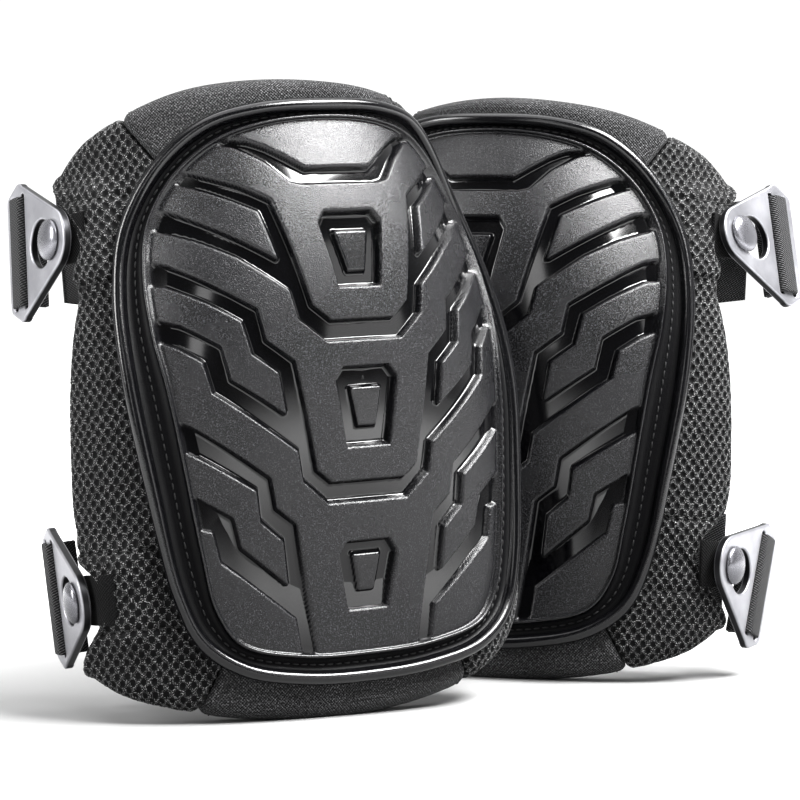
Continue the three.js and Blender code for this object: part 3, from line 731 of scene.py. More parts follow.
# Each weave's lighter colour is the painted highlight on its raised threads.
OXFORD = weave_material("oxford", 1.25, NEARLY_BLACK, gray(0.2, 0.205), 0.7, 0.04, 0.0003)
BACKING = weave_material("brushed_lining", 1.15, gray(0.008, 0.009), gray(0.035, 0.037), 0.92, 0.3, 0.0003)
HOOK = weave_material("hook_tape", 1.5, gray(0.003, 0.0035), gray(0.03, 0.032), 0.5, 0.0, 0.0007)
TWILL = twill_material()
THREAD = plastic_material("thread", gray(0.002, 0.0022), gray(0.01, 0.0105), 0.6, 60, 0.0001)
TABBING = weave_material("tab_webbing", 1.3, NEARLY_BLACK, gray(0.009, 0.0095), 0.8, 0.02, 0.0003)
CLIP = metal_material("clip_metal", gray(0.24, 0.257), gray(0.39, 0.412), 0.38)
STUD = metal_material("stud_metal", gray(0.13, 0.142), gray(0.2, 0.215), 0.27)
STEEL = steel_material()

# ------------------------------------------------------------ the cap's tread
# Half outlines of the raised plates, as (distance from the middle, height). Those that
# cross the middle start past it; those that reach the ridge run on beyond it.
OVER = -12
PLATES = [
    [(OVER, 81.3), (14, 81.3), (27, 90.2), (33, 93.2), (44, 95), (58, 95), (58, 125), (OVER, 125)],
    [(OVER, 74), (16.5, 74), (21.5, 75.2), (29.5, 84), (38.5, 90.3), (50, 93.5), (66, 93.5), (66, 84.6),
     (61, 84), (52.5, 82), (40, 75.8), (29.8, 69.2), (20.5, 28.6), (13.5, 22.6), (OVER, 22.6)],
    [(76, 79), (66, 80), (58, 77.5), (50, 73.2), (36, 64.8), (32.3, 47), (50, 59.5), (61.7, 67.6),
     (71.7, 70), (80, 71)],
    [(OVER, 13.7), (16.6, 13.7), (27.2, 22.8), (29.5, 34), (46.7, 48), (58.3, 55.3), (70, 61.3), (84, 64.5),
     (84, 50.5), (74.2, 49.7), (67.5, 47.7), (52.5, 36.5), (41.2, 28.3), (39.4, 16.4), (29, 7.8),
     (21.5, -33.5), (15.7, -38.2), (OVER, -38.2)],
    [(84, 40.5), (75, 39.7), (70, 38.8), (59, 31.5), (48.5, 23.7), (45.9, 11), (36.6, 3.5), (34.4, -11.2),
     (53, 2.6), (55.3, 15.3), (67.5, 24.7), (74.2, 27.3), (84, 29)],
    [(OVER, -47), (17.5, -47), (28.1, -37.7), (30.1, -26.3), (44.2, -15.3), (60.5, -2.2), (62.8, 9.6),
     (70, 15.5), (74.2, 18), (84, 20), (84, -10), (71.7, -11.2), (67.5, -13.3), (40, -35), (38, -46.5),
     (30, -53), (22.6, -100.6), (22, -114), (OVER, -114)],
    [(80, -20), (70, -23.2), (46.5, -39.8), (45.2, -51.4), (36.2, -59.5), (34.4, -75), (51.8, -60),
     (54.3, -48.7), (68.3, -39), (80, -36)],
    [(78, -49), (67.5, -52), (62.6, -53.6), (60.2, -65), (46.7, -76.2), (31, -88.9), (28.9, -101.2),
     (28, -114), (78, -114)],
]
WINDOWS = [
    [(OVER, 64), (10.8, 64), (14.2, 59.3), (9.5, 34), (OVER, 34)],
    [(OVER, 4.8), (10.2, 4.8), (14, -0.1), (9.8, -26.3), (OVER, -26.3)],
    [(OVER, -61), (9.6, -61), (13.3, -66.5), (9, -87.8), (OVER, -87.8)],
]
ISLANDS = [
    [(OVER, 55.6), (6.8, 55.6), (3.4, 41), (OVER, 41)],
    [(OVER, -4.2), (6.2, -4.2), (3.6, -17.9), (OVER, -17.9)],
    [(OVER, -67.2), (5.6, -67.2), (3, -80.2), (OVER, -80.2)],
]
RELIEF = 3.1  # how deep the grooves are
WALL = 1.5  # how far a plate's side slopes out
WINDOW_EXTRA = 0.7
ISLAND_DROP = 1.5


def outline_distance(x, v, points):
    """Distance to a closed outline, negative inside it."""
    points = np.array(points, float)
    nearest = np.full(x.shape, np.inf)
    inside = np.zeros(x.shape, bool)
    for (ax, av), (bx, bv) in zip(points, np.roll(points, -1, axis=0)):
        ex, ev = bx - ax, bv - av
        k = np.clip(((x - ax) * ex + (v - av) * ev) / (ex * ex + ev * ev), 0, 1)
        nearest = np.minimum(nearest, (x - ax - k * ex) ** 2 + (v - av - k * ev) ** 2)
        if bv != av:
            crosses = ((av > v) != (bv > v)) & (x < ex * (v - av) / ev + ax)
            inside ^= crosses
    return np.where(inside, -1, 1) * np.sqrt(nearest)


def tread_height(x, v):
    """How far the surface lies below the plates' tops, and 1 on plates to 0 in grooves."""
    x = np.abs(x)
    plates, windows, islands = (np.min([outline_distance(x, v, p) for p in group], axis=0)
                                for group in (PLATES, WINDOWS, ISLANDS))
    solid = np.maximum(plates, -windows)
    depth = RELIEF + WINDOW_EXTRA * smooth(-windows, 0, 2)
    base = -depth * smooth(solid, 0, WALL)
    raised = -ISLAND_DROP - (depth - ISLAND_DROP) * smooth(islands, 0, WALL)
    height = np.where(windows < 0, np.maximum(base, raised), base)
    return height, np.clip(1 + height / RELIEF, 0, 1)


# The dome's depth behind its front, as (weight, power of x, power of v), per 100 mm
DOME = [(0.2427, 2, 0), (0.1632, 0, 2), (0.2822, 4, 0), (0.0614, 2, 1), (0.0777, 0, 3), (-0.1382, 2, 2),
        (0.0122, 0, 4), (-0.0772, 0, 1), (0.2154, 6, 0)]


def dome_depth(x, v):
    x, v = x / 100, v / 100
    return 100 * sum(weight * x ** a * v ** b for weight, a, b in DOME)


CAP_AROUND = 720
CAP_RINGS = 160
FADE_START, DOME_END = 0.98, 0.992  # the tread fades between them, and the rim takes over
THINNEST = 0.4
# The rim outside the dome: (line, offset outwards, height over the face, gloss relief). A relief below 0
# marks the trough, which the cap's material darkens as painted shade.
RIM = ([("ridge", -0.75, 3.1, 0.6), ("ridge", -0.35, 3.75, 0.6), ("ridge", 0.1, 3.9, 0.6),
        ("ridge", 0.5, 3.55, 0.6), ("ridge", 0.8, 2.6, 0.4), ("ridge", 0.95, 1.4, -0.6),
        ("middle", 0.3, 0.85, -1), ("middle", 0.5, 0.8, -1), ("middle", 0.72, 0.9, -1),
        ("bead", -2.5, 1.3, -0.6), ("bead", -2.3, 1.9, 0.3), ("bead", -2.1, 2.15, 0.5)]
       + [("bead", 0.55 - 2.6 * math.cos(a), 2.1 + 3.1 * math.sin(a), 0.25)
          for a in np.radians(range(12, 181, 12))]
       + [("bead", 3.1, 1.1, 0.5), ("bead", 2.5, 0.35, 0.4), ("bead", 0, 0.3, 0.4), ("ridge", 0, 0.3, 0.4)])
BACK_SHARES = (0.96, 0.85, 0.7, 0.5, 0.3, 0.12)  # the rings of the cap's inner side


def trough_radius(ridge, bead, share):
    """Across the trough's floor, from the ridge's foot at 0 to the bead's at 1."""
    return ridge + 0.95 + (bead - 2.5 - ridge - 0.95) * share


def make_cap(pad):
    theta = np.arange(CAP_AROUND) * 2 * math.pi / CAP_AROUND
    rr, rb = ridge_radius(theta), bead_radius(theta)
    s, v = rr * np.cos(theta), rr * np.sin(theta)
    x, _ = pad.wrap(s, v)
    foot = pad.face(s, v)[:, 1] - FLANGE_TOP
    correction = foot - dome_depth(x, v)

    def surface(t, drop=0.0):
        point = np.stack([x * t, dome_depth(x * t, v * t) + correction * t ** 4, v * t], axis=-1)
        if drop:
            behind = pad.face(s * t, v * t)[..., 1] - GAP
            point[..., 1] = np.minimum(point[..., 1] + drop, np.maximum(behind, point[..., 1] + THINNEST))
        return point

    t = (np.arange(1, CAP_RINGS + 1) / CAP_RINGS * DOME_END)[:, None]
    dome = surface(t)
    wrapped = np.concatenate([dome, dome[:, :1]], axis=1)
    normals = grid_normals(wrapped)[:, :-1]
    normals[normals[..., 1] > 0] *= -1
    height, relief = tread_height(x * t, v * t)
    fade = 1 - smooth(t, FADE_START, DOME_END)
    dome = dome + normals * (height * fade)[..., None]
    relief = relief * fade + 0.6 * (1 - fade)
    rings, gloss = [*dome], [*relief]
    for base, offset, height, shine in RIM:
        if base == "middle":
            radius = trough_radius(rr, rb, offset)
        else:
            radius = (rr if base == "ridge" else rb) + offset
        rings.append(pad.face(radius * np.cos(theta), radius * np.sin(theta), -height))
        gloss.append(np.full(CAP_AROUND, shine))
    for share in BACK_SHARES:
        rings.append(surface(share, CAP_WALL + RELIEF))
        gloss.append(np.zeros(CAP_AROUND))
    front, back = surface(0 * t[:1])[0, :1], surface(0 * t[:1], CAP_WALL + RELIEF)[0, :1]
    front[0, 1] -= tread_height(np.zeros(1), np.zeros(1))[0][0]
    points = np.concatenate([front, np.concatenate(rings), back])
    relief = np.concatenate([[1], np.concatenate(gloss), [0]])
    last = len(points) - 1
    faces = [*ring_faces(len(rings), CAP_AROUND, 1), *end_fans(CAP_AROUND, (0, 1), (last, last - CAP_AROUND))]
    add_piece(pad, "hard_cap", pad.to_world(points), faces, CAP, ["cap"], {"relief": relief})
    # lock stitches along the bottom of the trough
    fine = np.arange(0, 361) * math.pi / 180
    radius = trough_radius(ridge_radius(fine), bead_radius(fine), 0.5)
    line = pad.face(radius * np.cos(fine), radius * np.sin(fine), -0.95)
    out = unit(line - pad.face(radius * np.cos(fine), radius * np.sin(fine), 1))
    points, faces = threads([(line, out)], 2.6, 1.1, 0.34)
    add_piece(pad, "cap_stitches", pad.to_world(points), faces, THREAD)


# ------------------------------------------------------------ the padded body
AROUND = 144  # a multiple that puts the panel seams on a column
FRONT_RINGS, BACK_RINGS = 7, 10
ROLL_ANGLES = (66, 42, 18, -6, -30, -54)
SLACK = 0.8  # the body starts this much smaller than the CAD, and swells
SEAM_DEPTH = 1.9
MIDDLE_DEPTH = 8.05  # the rolled edge's middle, behind the face
UNDER_BEAD = 1.5  # the rings on either side of the bead's line
ROLL_MOST, ROLL_LOSS = 8, 4.5  # the rolled edge's radius, and how much of it an ear takes


def ear_shares(height):
    """Near 1 beside each tab, where the cloth reaches out over the tab's root."""
    return [1 - smooth(np.abs(height - middle), TAB_HALF + 5, TAB_HALF + 15)
            for _, middle in STUD_PLACES.values()]


def ease_out(pad, theta, outer):
    """How far the cloth goes past the foam's outline on the outer side."""
    height = outer * np.sin(theta)
    shares = ear_shares(height)
    reach = pad.bulge * (1 - sum(shares)) * smooth(height, -122, -96)
    reach = reach + sum(ear[0] * share for ear, share in zip(pad.ears, shares))
    return reach * smooth(np.cos(theta), -0.1, 0.5)


def over_tab(pad, s, v):
    """How far the cloth stands off the face there, to cover a tab's root."""
    lift = sum(ear[1] * share for ear, share in zip(pad.ears, ear_shares(v)))
    return lift * smooth(s, 80, 93) * (1 - 0.42 * smooth(s, 96, 103))


def back_depth(share):
    core = CORE_EDGE + (CORE_MIDDLE - CORE_EDGE) * (1 - share ** 3)
    return CORE_FRONT + core + LAYER_GAP + LINING - SLACK


def body_grid(pad):
    """The body's surface as rings of columns, and its cloth coordinates."""
    theta = np.arange(AROUND) * 2 * math.pi / AROUND
    rb, outer = bead_radius(theta), body_radius(theta)
    outer = outer + ease_out(pad, theta, outer)
    roll = np.minimum(ROLL_MOST, 0.5 * (outer - rb - UNDER_BEAD))
    roll = roll - ROLL_LOSS * sum(ear_shares(outer * np.sin(theta))) * (np.cos(theta) > 0)
    flat_end = outer - roll
    rings, cloth = [], []

    def add(radius, depth, reach):
        s, v = radius * np.cos(theta), radius * np.sin(theta)
        front = 1 - smooth(depth, SLACK, MIDDLE_DEPTH)
        rings.append(pad.face(s, v, depth - front * over_tab(pad, s, v)))
        cloth.append(np.stack([reach * np.cos(theta), reach * np.sin(theta), 0 * s], -1))

    for share in (0.3, 0.6, 0.85):
        add(rb * share, SLACK, rb * share)
    add(rb - UNDER_BEAD, SLACK, rb - UNDER_BEAD)
    for k in range(FRONT_RINGS):
        radius = rb + UNDER_BEAD + (flat_end - rb - UNDER_BEAD) * k / (FRONT_RINGS - 1)
        add(radius, SLACK, radius)
    deep = MIDDLE_DEPTH - SLACK
    for degrees in ROLL_ANGLES:
        a = math.radians(degrees)
        arc = (math.pi / 2 - a) * (roll + deep) / 2
        add(flat_end + roll * math.cos(a), MIDDLE_DEPTH - deep * math.sin(a), flat_end + arc)
    for k in range(BACK_RINGS):
        share = 1 - k / BACK_RINGS
        radius = flat_end * share
        add(radius, back_depth(radius / outer), radius)
    return np.array(rings), np.array(cloth)


FIRST_FRONT = 3  # the ring that starts under the bead
LAST_ROLL = 4 + FRONT_RINGS + len(ROLL_ANGLES) - 1
LINING_OVAL = LAST_ROLL + 5  # the ring of the lining's sewn oval
SEAM_COLUMNS = [round(angle / 360 * AROUND) for angle in PANEL_SEAMS]


def sink_seams(pad, rings):
    """Pulls the sewn lines in: the panel seams, the edge seam and the lining's oval."""
    moved = rings.copy()
    normals = body_normals(rings)
    for column in SEAM_COLUMNS:
        span = slice(FIRST_FRONT + 1, LAST_ROLL + 1)
        moved[span, column] -= normals[span, column] * (SEAM_DEPTH - SLACK)
    for ring, depth in ((LAST_ROLL, 0.8), (LINING_OVAL, 1.6)):
        moved[ring] -= normals[ring] * depth
    return moved


def body_normals(rings):
    wrapped = np.concatenate([rings[:, -1:], rings, rings[:, :1]], axis=1)
    return outward(grid_normals(wrapped)[:, 1:-1], rings, rings.mean(axis=(0, 1)))


SWELL_FRONT, SWELL_BACK = 2.4, 3.4
PRESSURE = 4
SWELL_FRAMES = 20


def swell(pad, rings):
    """Fills the body by cloth simulation, with its sewn lines held, and limits how far it goes."""
    count = rings.shape[0]
    points = np.concatenate([rings.reshape(-1, 3), rings[0].mean(0)[None], rings[-1].mean(0)[None]]) * MM
    front_tip = count * AROUND
    fans = end_fans(AROUND, (front_tip, 0), (front_tip + 1, (count - 1) * AROUND))
    mesh = outward_mesh("filling", points, ring_faces(count, AROUND).tolist() + fans)
    filling = link(bpy.data.objects.new("filling", mesh))
    held = np.zeros((count, AROUND), bool)
    held[:FIRST_FRONT + 2] = True
    held[[LAST_ROLL, LINING_OVAL]] = True
    held[FIRST_FRONT:LAST_ROLL + 1, SEAM_COLUMNS] = True
    theta = np.arange(AROUND) * 2 * math.pi / AROUND
    edge = body_radius(theta)
    beside_tab = (sum(ear_shares(edge * np.sin(theta))) > 0.3) & (np.cos(theta) > 0)
    held[FIRST_FRONT + 5:LAST_ROLL - 1, beside_tab] = True
    pins = filling.vertex_groups.new(name="pins")
    pins.add([*np.flatnonzero(held.ravel()).tolist(), front_tip], 1.0, "REPLACE")
    settings = filling.modifiers.new("swell", "CLOTH").settings
    settings.quality = 6
    settings.mass = 0.3
    settings.tension_stiffness = settings.compression_stiffness = 12
    settings.shear_stiffness = 4
    settings.bending_stiffness = 0.6
    settings.use_pressure = True
    settings.uniform_pressure_force = PRESSURE
    settings.effector_weights.gravity = 0
    settings.vertex_group_mass = "pins"
    scene = bpy.context.scene
    for number in range(1, SWELL_FRAMES + 1):
        scene.frame_set(number)
    graph = bpy.context.evaluated_depsgraph_get()
    result = np.array([v.co for v in filling.evaluated_get(graph).data.vertices]) / MM
    scene.frame_set(1)
    bpy.data.objects.remove(filling)
    grown = result[:count * AROUND].reshape(rings.shape) - rings
    limit = np.where(np.arange(count) > LAST_ROLL, SWELL_BACK, SWELL_FRONT)[:, None, None]
    size = np.linalg.norm(grown, axis=-1, keepdims=True)
    print(f"{pad.name} body swelled by up to {size.max():.1f} mm, median {np.median(size):.2f} mm")
    return rings + grown * np.tanh(size / limit) * limit / np.maximum(size, 1e-9)


def sector(rings, first, last):
    """Columns first to last of a ring array, going past the end if need be."""
    columns = [c % AROUND for c in range(first, last + 1)]
    return rings[:, columns]


STITCH_LINES = (77, 43, -57, -87)  # heights of the rows sewn across the outer wing beside each tab
COVER = 1.8  # thickness of the fabric and its foam backing
HOLE_DENT, ROW_DENT, SEAM_DENT, SEAM_PUFF = 0.85, 1.1, 0.9, 0.35


def hill(distance, width):
    return np.exp(-(distance / width) ** 2)


def cloth_piece(pad, name, rings, cloth, columns, ring_span, factor, material, node):
    outer = sector(rings, *columns)[ring_span]
    coordinates = sector(cloth, *columns)[ring_span]
    centre = rings.mean(axis=(0, 1))
    inner = outer - outward(grid_normals(outer), outer, centre) * COVER
    fine, fine_cloth = refine_both(outer, factor), refine_both(coordinates, factor)
    fine_normals = outward(grid_normals(fine), fine, centre)
    a, b = fine_cloth[..., 0], fine_cloth[..., 1]
    lift = np.zeros(a.shape)
    if material is AIR_MESH:
        lift -= HOLE_DENT * (1 - smooth(hole_measure(a, b), 0.7, 1.15))
        if name == "outer_mesh":
            for height in STITCH_LINES:
                lift -= ROW_DENT * hill(b - height, 1.5) * smooth(a, 60, 80)
    steps = np.arange(fine.shape[1])
    spacing = np.linalg.norm(np.diff(fine, axis=1), axis=-1).mean()
    to_seam = np.minimum(steps, steps[::-1]) * spacing
    lift -= (SEAM_DENT * hill(to_seam, 0.9) - SEAM_PUFF * hill(to_seam - 2.6, 1.1))[None]
    fine = fine + fine_normals * lift[..., None]
    points, faces = shell(fine, inner, factor)
    everywhere = np.concatenate([fine_cloth.reshape(-1, 3), coordinates.reshape(-1, 3)])
    piece = add_piece(pad, name, pad.above_floor(points), faces, material, [node],
                      {"cloth": everywhere})
    return fine, fine_normals


def make_body(pad):
    rings, cloth = body_grid(pad)
    rings = sink_seams(pad, rings)
    rings = swell(pad, rings)
    upper, inner, lower, outer = SEAM_COLUMNS
    front = slice(FIRST_FRONT, LAST_ROLL + 1)
    seams = []
    for name, columns, factor, material, slot, node in (
            ("top_cover", (upper, inner), 4, OXFORD, "oxford", "upper_panel"),
            ("inner_mesh", (inner, lower), 6, AIR_MESH, "air_mesh", "inner_wing"),
            ("bottom_cover", (lower, outer), 4, OXFORD, "oxford", "lower_panel"),
            ("outer_mesh", (outer, AROUND + upper), 6, AIR_MESH, "air_mesh", "outer_wing")):
        made, out = cloth_piece(pad, name, rings, cloth, columns, front, factor, material, node)
        if material is OXFORD:
            for column in (3, made.shape[1] - 4):
                seams.append((made[8:-2, column] + out[8:-2, column] * 0.1, out[8:-2, column]))
        if name == "outer_mesh":
            heights = refine_both(sector(cloth, *columns)[front], factor)[..., 1]
            seams += rows_across(made, out, heights)
    points, faces = threads(seams, 2.2, 1.2, 0.3)
    add_piece(pad, "seam_stitches", pad.above_floor(points), faces, THREAD)
    make_lining(pad, rings, cloth)


def rows_across(made, out, heights):
    """The rows of stitches beside each tab, from the cap to the edge of the outer wing."""
    rows = []
    for height in STITCH_LINES:
        pick = np.arange(6, len(made) - 4)
        pick = pick, np.abs(heights - height).argmin(axis=1)[pick]
        rows.append((made[pick] + out[pick] * 0.35, out[pick]))
    return rows


def make_lining(pad, rings, cloth):
    """The back: one closed sheet from the edge seam to the middle."""
    factor = 3
    made = []
    for grid in (rings[LAST_ROLL:], cloth[LAST_ROLL:]):
        wrapped = np.concatenate([grid[:, -1:], grid, grid[:, :2]], axis=1)
        made.append(refine_both(wrapped, factor)[:, factor:-factor - 1])
    fine, fine_cloth = made
    rows, around = fine.shape[:2]
    tip = rings[-1].mean(0)
    normals = body_normals(fine)
    inner = fine - normals * COVER
    middle = tip - normals[-1].mean(0) * COVER
    points = np.concatenate([inner[::-1].reshape(-1, 3), fine.reshape(-1, 3), middle[None], tip[None]])
    last = len(points) - 1
    faces = [*ring_faces(2 * rows, around),
             *end_fans(around, (last - 1, 0), (last, (2 * rows - 1) * around))]
    everywhere = np.concatenate([fine_cloth[::-1].reshape(-1, 3), fine_cloth.reshape(-1, 3),
                                 np.zeros((2, 3))])
    hidden = ("lining", "foam_core", "gel_insert", "cap_filler")
    piece = add_piece(pad, "back_lining", pad.above_floor(points), faces, BACKING, hidden,
                      {"cloth": everywhere})


# ------------------------------------------------------------ tabs, studs and clips
def make_tab(pad, part):
    edge, height = STUD_PLACES[part]
    reach = getattr(pad, part)["reach"]
    end = reach + TAB_TIP
    centre, across, normal = [], [], []
    for past in (*np.linspace(-3, 0, 4), *np.linspace(0.8, reach, 14), *np.linspace(reach + 0.8, end, 14)):
        if past <= 0:
            place = pad.face(edge + past, height, -TAB_LIFT - TAB_THICK / 2)
            up = unit(pad.face(edge + past, height + 5) - pad.face(edge + past, height - 5))
            out = unit(pad.face(edge + past, height, -1) - pad.face(edge + past, height))
        else:
            made = pad.tab_frame(part, past)
            lift = GAP + (TAB_LIFT - GAP) * max(0, 1 - past / TAB_BEND) ** 2 + TAB_THICK / 2
            place, up, out = made[:3, 3] + made[:3, 2] * lift, made[:3, 1], made[:3, 2]
        far = max(0, (past - reach) / (TAB_TIP + 0.25))
        centre.append(place)
        across.append(up * math.sqrt(max(0.02, 1 - far * far)))
        normal.append(out)
    path = (np.array(values) for values in (centre, across, normal))
    points, faces, cloth = ribbon(*path, 2 * TAB_HALF, TAB_THICK, 0.5)
    add_piece(pad, f"{part}_sewn_tab", pad.to_world(points), faces, TABBING, [f"{part}_tab"],
              {"cloth": cloth})


def make_stud(pad, part):
    floor = CLIP_FLOOR + CLIP_THICK + 0.2
    neck = GAP + TAB_THICK + 0.15
    radius, tall, rim = 7.9, 3.2, 0.6
    profile = [(0, -3.2), (2.3, -3.2), (2.6, -2.9), (2.6, neck), (3.4, neck), (3.6, neck + 0.2),
               (3.6, floor - 0.3), (3.9, floor), (radius - 0.7, floor), (radius - 0.2, floor + 0.15),
               (radius, floor + 0.5)]
    profile += [(radius * math.cos(a), floor + rim + (tall - rim) * math.sin(a))
                for a in np.radians((3, 12, 22, 33, 44, 55, 66, 76, 84))]
    profile.append((0, floor + tall))
    rivet = [(0, -1.3), (2.2, -1.3), (5.2, -1.25), (5.8, -1.3), (6, -1.6), (5.7, -2.0), (5, -2.35),
             (3.2, -2.5), (2.4, -2.3), (1.2, -2.2), (0, -2.15)]
    for name, turned, around, material, slot, node in (
            ("stud_button", profile, 64, STUD, "stud", "stud"),
            ("rivet_cap", rivet, 48, STEEL, "rivet", "stud_back")):
        points, faces = lathe(turned, around)
        points = pad.to_world(placed(pad.stud_frame(part), points))
        add_piece(pad, f"{part}_{name}", points, faces, material, [f"{part}_{node}"])


def quadratic(a, b, c, count=8):
    return [tuple((1 - t) ** 2 * np.array(a) + 2 * t * (1 - t) * np.array(b) + t * t * np.array(c))
            for t in np.linspace(0, 1, count)]


def arc(x, y, radius, start, end, count):
    return [(x + radius * math.cos(a), y + radius * math.sin(a)) for a in np.linspace(start, end, count)]


def clip_outlines():
    apex, shoulder, half_length, edge, edge_half = 12.3, 27, 28, 38, 22.5
    lean = math.atan2(half_length, shoulder) + math.acos(apex / math.hypot(shoulder, half_length))
    outer = arc(0, 0, apex, lean, 2 * math.pi - lean, 48)
    right = (quadratic((shoulder - 2.6, -half_length + 2.2), (shoulder, -half_length - 0.4),
                       (shoulder + 3.2, -half_length + 1.5))
             + quadratic((edge - 2, -edge_half - 1.1), (edge, -edge_half), (edge, -edge_half + 3)))
    outer += right + [(x, -y) for x, y in right[::-1]]
    entry, neck = 9.3, 4.1
    wide = math.asin(neck / entry)
    keyhole = (arc(entry * math.cos(wide), 0, entry, math.pi + wide, 3 * math.pi - wide, 56)
               + arc(0, 0, neck, math.pi / 2, 1.5 * math.pi, 24)[1:-1])
    slots = []
    for low, high in SLOTS:
        r = 0.8
        slots.append([p for cx, cy, a in ((high - r, SLOT_HALF - r, 0), (low + r, SLOT_HALF - r, 90),
                                          (low + r, -SLOT_HALF + r, 180), (high - r, -SLOT_HALF + r, 270))
                      for p in arc(cx, cy, r, math.radians(a), math.radians(a + 90), 5)])
    return [outer, keyhole, *slots]


def make_clip(pad, part):
    bevel = 0.85
    curve = bpy.data.curves.new("clip_profile", "CURVE")
    curve.dimensions = "2D"
    curve.fill_mode = "BOTH"
    curve.extrude = CLIP_THICK / 2 - bevel
    curve.bevel_depth = bevel
    curve.bevel_resolution = 3
    curve.offset = -bevel
    for line in clip_outlines():
        spline = curve.splines.new("POLY")
        spline.points.add(len(line) - 1)
        spline.points.foreach_set("co", [c for x, y in line for c in (x, y, 0, 1)])
        spline.use_cyclic_u = True
    shape = link(bpy.data.objects.new("clip_profile", curve))
    graph = bpy.context.evaluated_depsgraph_get()
    flat = bpy.data.meshes.new_from_object(shape.evaluated_get(graph))
    bpy.data.objects.remove(shape)
    points = np.array([v.co for v in flat.vertices])
    faces = [list(p.vertices) for p in flat.polygons]
    points[:, 2] += CLIP_FLOOR + CLIP_THICK / 2
    # side marks the walls between the two faces, which the clip's material paints near-black as painted
    # shade.
    past_face = np.abs(points[:, 2] - CLIP_FLOOR - CLIP_THICK / 2) - (CLIP_THICK / 2 - bevel)
    side = 1 - smooth(past_face, -0.05, 0.6)
    points = pad.to_world(placed(pad.clip_frame(part), points))
    clip = add_piece(pad, f"{part}_tri_glide", points, faces, CLIP, [f"{part}_clip"], {"side": side})
    weld = clip.modifiers.new("weld", "WELD")
    weld.merge_threshold = 0.00002
    harden = clip.modifiers.new("smooth_faces", "WEIGHTED_NORMAL")
    harden.keep_sharp = True


def make_strap_end(pad, part):
    """The strap's end: up through the inner slot, over the bar, and back behind it."""
    (_, bar_in), (bar_out, _) = SLOTS
    t = STRAP_THICK
    low, high = CLIP_FLOOR - GAP - t / 2, CLIP_FLOOR + CLIP_THICK + GAP + t / 2
    left, right = bar_in - GAP - t / 2, bar_out + GAP + t / 2
    r = 1.15
    path = [(left, low - 4.8), (left, low)]
    path += arc(left + r, high - r, r, math.pi, math.pi / 2, 6)
    path += [(left + 0.4 * (right - left), high + 0.12), (left + 0.6 * (right - left), high + 0.12)]
    path += arc(right - r, high - r, r, math.pi / 2, 0, 6)
    path += arc(right - r, low + r, r, 0, -math.pi / 2, 6)
    path += [(left + t + 1.4, low)]
    path += arc(left + t + 1.3, low - 1.2, 1.2, math.pi / 2, math.pi, 5)
    path += [(left + t + 0.1, low - 4.8)]
    line = np.array([(p, 0, h) for p, h in path])
    line, _ = evenly(line, 60)
    tangent = unit(np.gradient(line, axis=0))
    across = np.tile([0.0, 1.0, 0.0], (len(line), 1))
    normal = np.cross(tangent, across)
    points, faces, cloth = ribbon(line, across, normal, STRAP_WIDTH, t, 0.5, 18)
    points = pad.to_world(placed(pad.clip_frame(part), points))
    add_piece(pad, f"{part}_strap_loop", points, faces, TWILL, [f"{part}_strap_end"],
              {"cloth": cloth})


PAD_THICKNESS = CORE_FRONT + CORE_EDGE + LINING + 2 * GAP
BLEND_SHARES = (0.3, 0.04)  # two shares of the strap's length, where points on its line are taken


def strap_line(pad, part, count):
    height = STUD_PLACES[part][1] - STRAP_DROP[part]
    start = placed(pad.stud_frame(part), [SLOTS[0][1] - 0.7, 0, -8.5])
    seat = PAD_THICKNESS + STRAP_THICK / 2 + STRAP_BEHIND[part]
    edge = pad.face(-112, height, seat + 1)
    middle = (start + edge) / 2 + [0, 5, 0]
    route = catmull([start, middle, edge, pad.face(-98, height, seat + 1.5)], False, 400)
    return evenly(route, count)


def band_axes(line):
    tangent = unit(np.gradient(line, axis=0))
    side = unit(np.stack([-tangent[:, 1], tangent[:, 0], 0 * tangent[:, 0]], 1))
    side[side[:, 1] < 0] *= -1
    return np.tile([0.0, 0.0, 1.0], (len(line), 1)), side


def make_strap(pad, part):
    name = f"{pad.name}_{part}"
    line, length = strap_line(pad, part, 110)
    up, behind = band_axes(line)
    along = np.linspace(0, length, len(line))
    wavy = line + behind * (0.35 * np.sin(along / 9 + pad.turn) * smooth(along, 8, 25))[:, None]
    points, faces, cloth = ribbon(wavy, up, behind, STRAP_WIDTH, STRAP_THICK, 0.5, 18)
    start, end = (tuple(pad.to_world(line[int(share * (len(line) - 1))])) for share in BLEND_SHARES)

    def crossing(piece, node):
        """Hides the CAD part that the piece stands for, and bakes the piece's transform into its mesh."""
        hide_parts(f"{name}_{node}")
        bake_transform(piece)

    crossing(build(f"{name}_elastic_strap", pad.to_world(points), faces, TWILL, {"cloth": cloth}),
             "strap")
    # the hook patch on the back of the strap
    from_share, to_share = HOOK_START / length, (HOOK_START + HOOK_LENGTH) / length
    pick = np.linspace(from_share, to_share, 24) * (len(line) - 1)
    patch = np.stack([np.interp(pick, np.arange(len(line)), wavy[:, k]) for k in range(3)], 1)
    patch = patch + band_axes(patch)[1] * (STRAP_THICK / 2 + GAP + HOOK_THICK / 2)
    patch_up, patch_behind = band_axes(patch)
    share = np.linspace(-1, 1, 24)
    narrow = 1 - 0.06 * np.abs(share) ** 12
    points, faces, cloth = ribbon(patch, patch_up * narrow[:, None], patch_behind, HOOK_WIDTH, HOOK_THICK,
                                  0.4, 16)
    crossing(build(f"{name}_hook_tape", pad.to_world(points), faces, HOOK, {"cloth": cloth}),
             "hook_patch")


# ------------------------------------------------------------ floor, light and camera
FLOOR_NEAR, FLOOR_FAR = gray(0.32, 0.32), gray(0.95, 0.95)


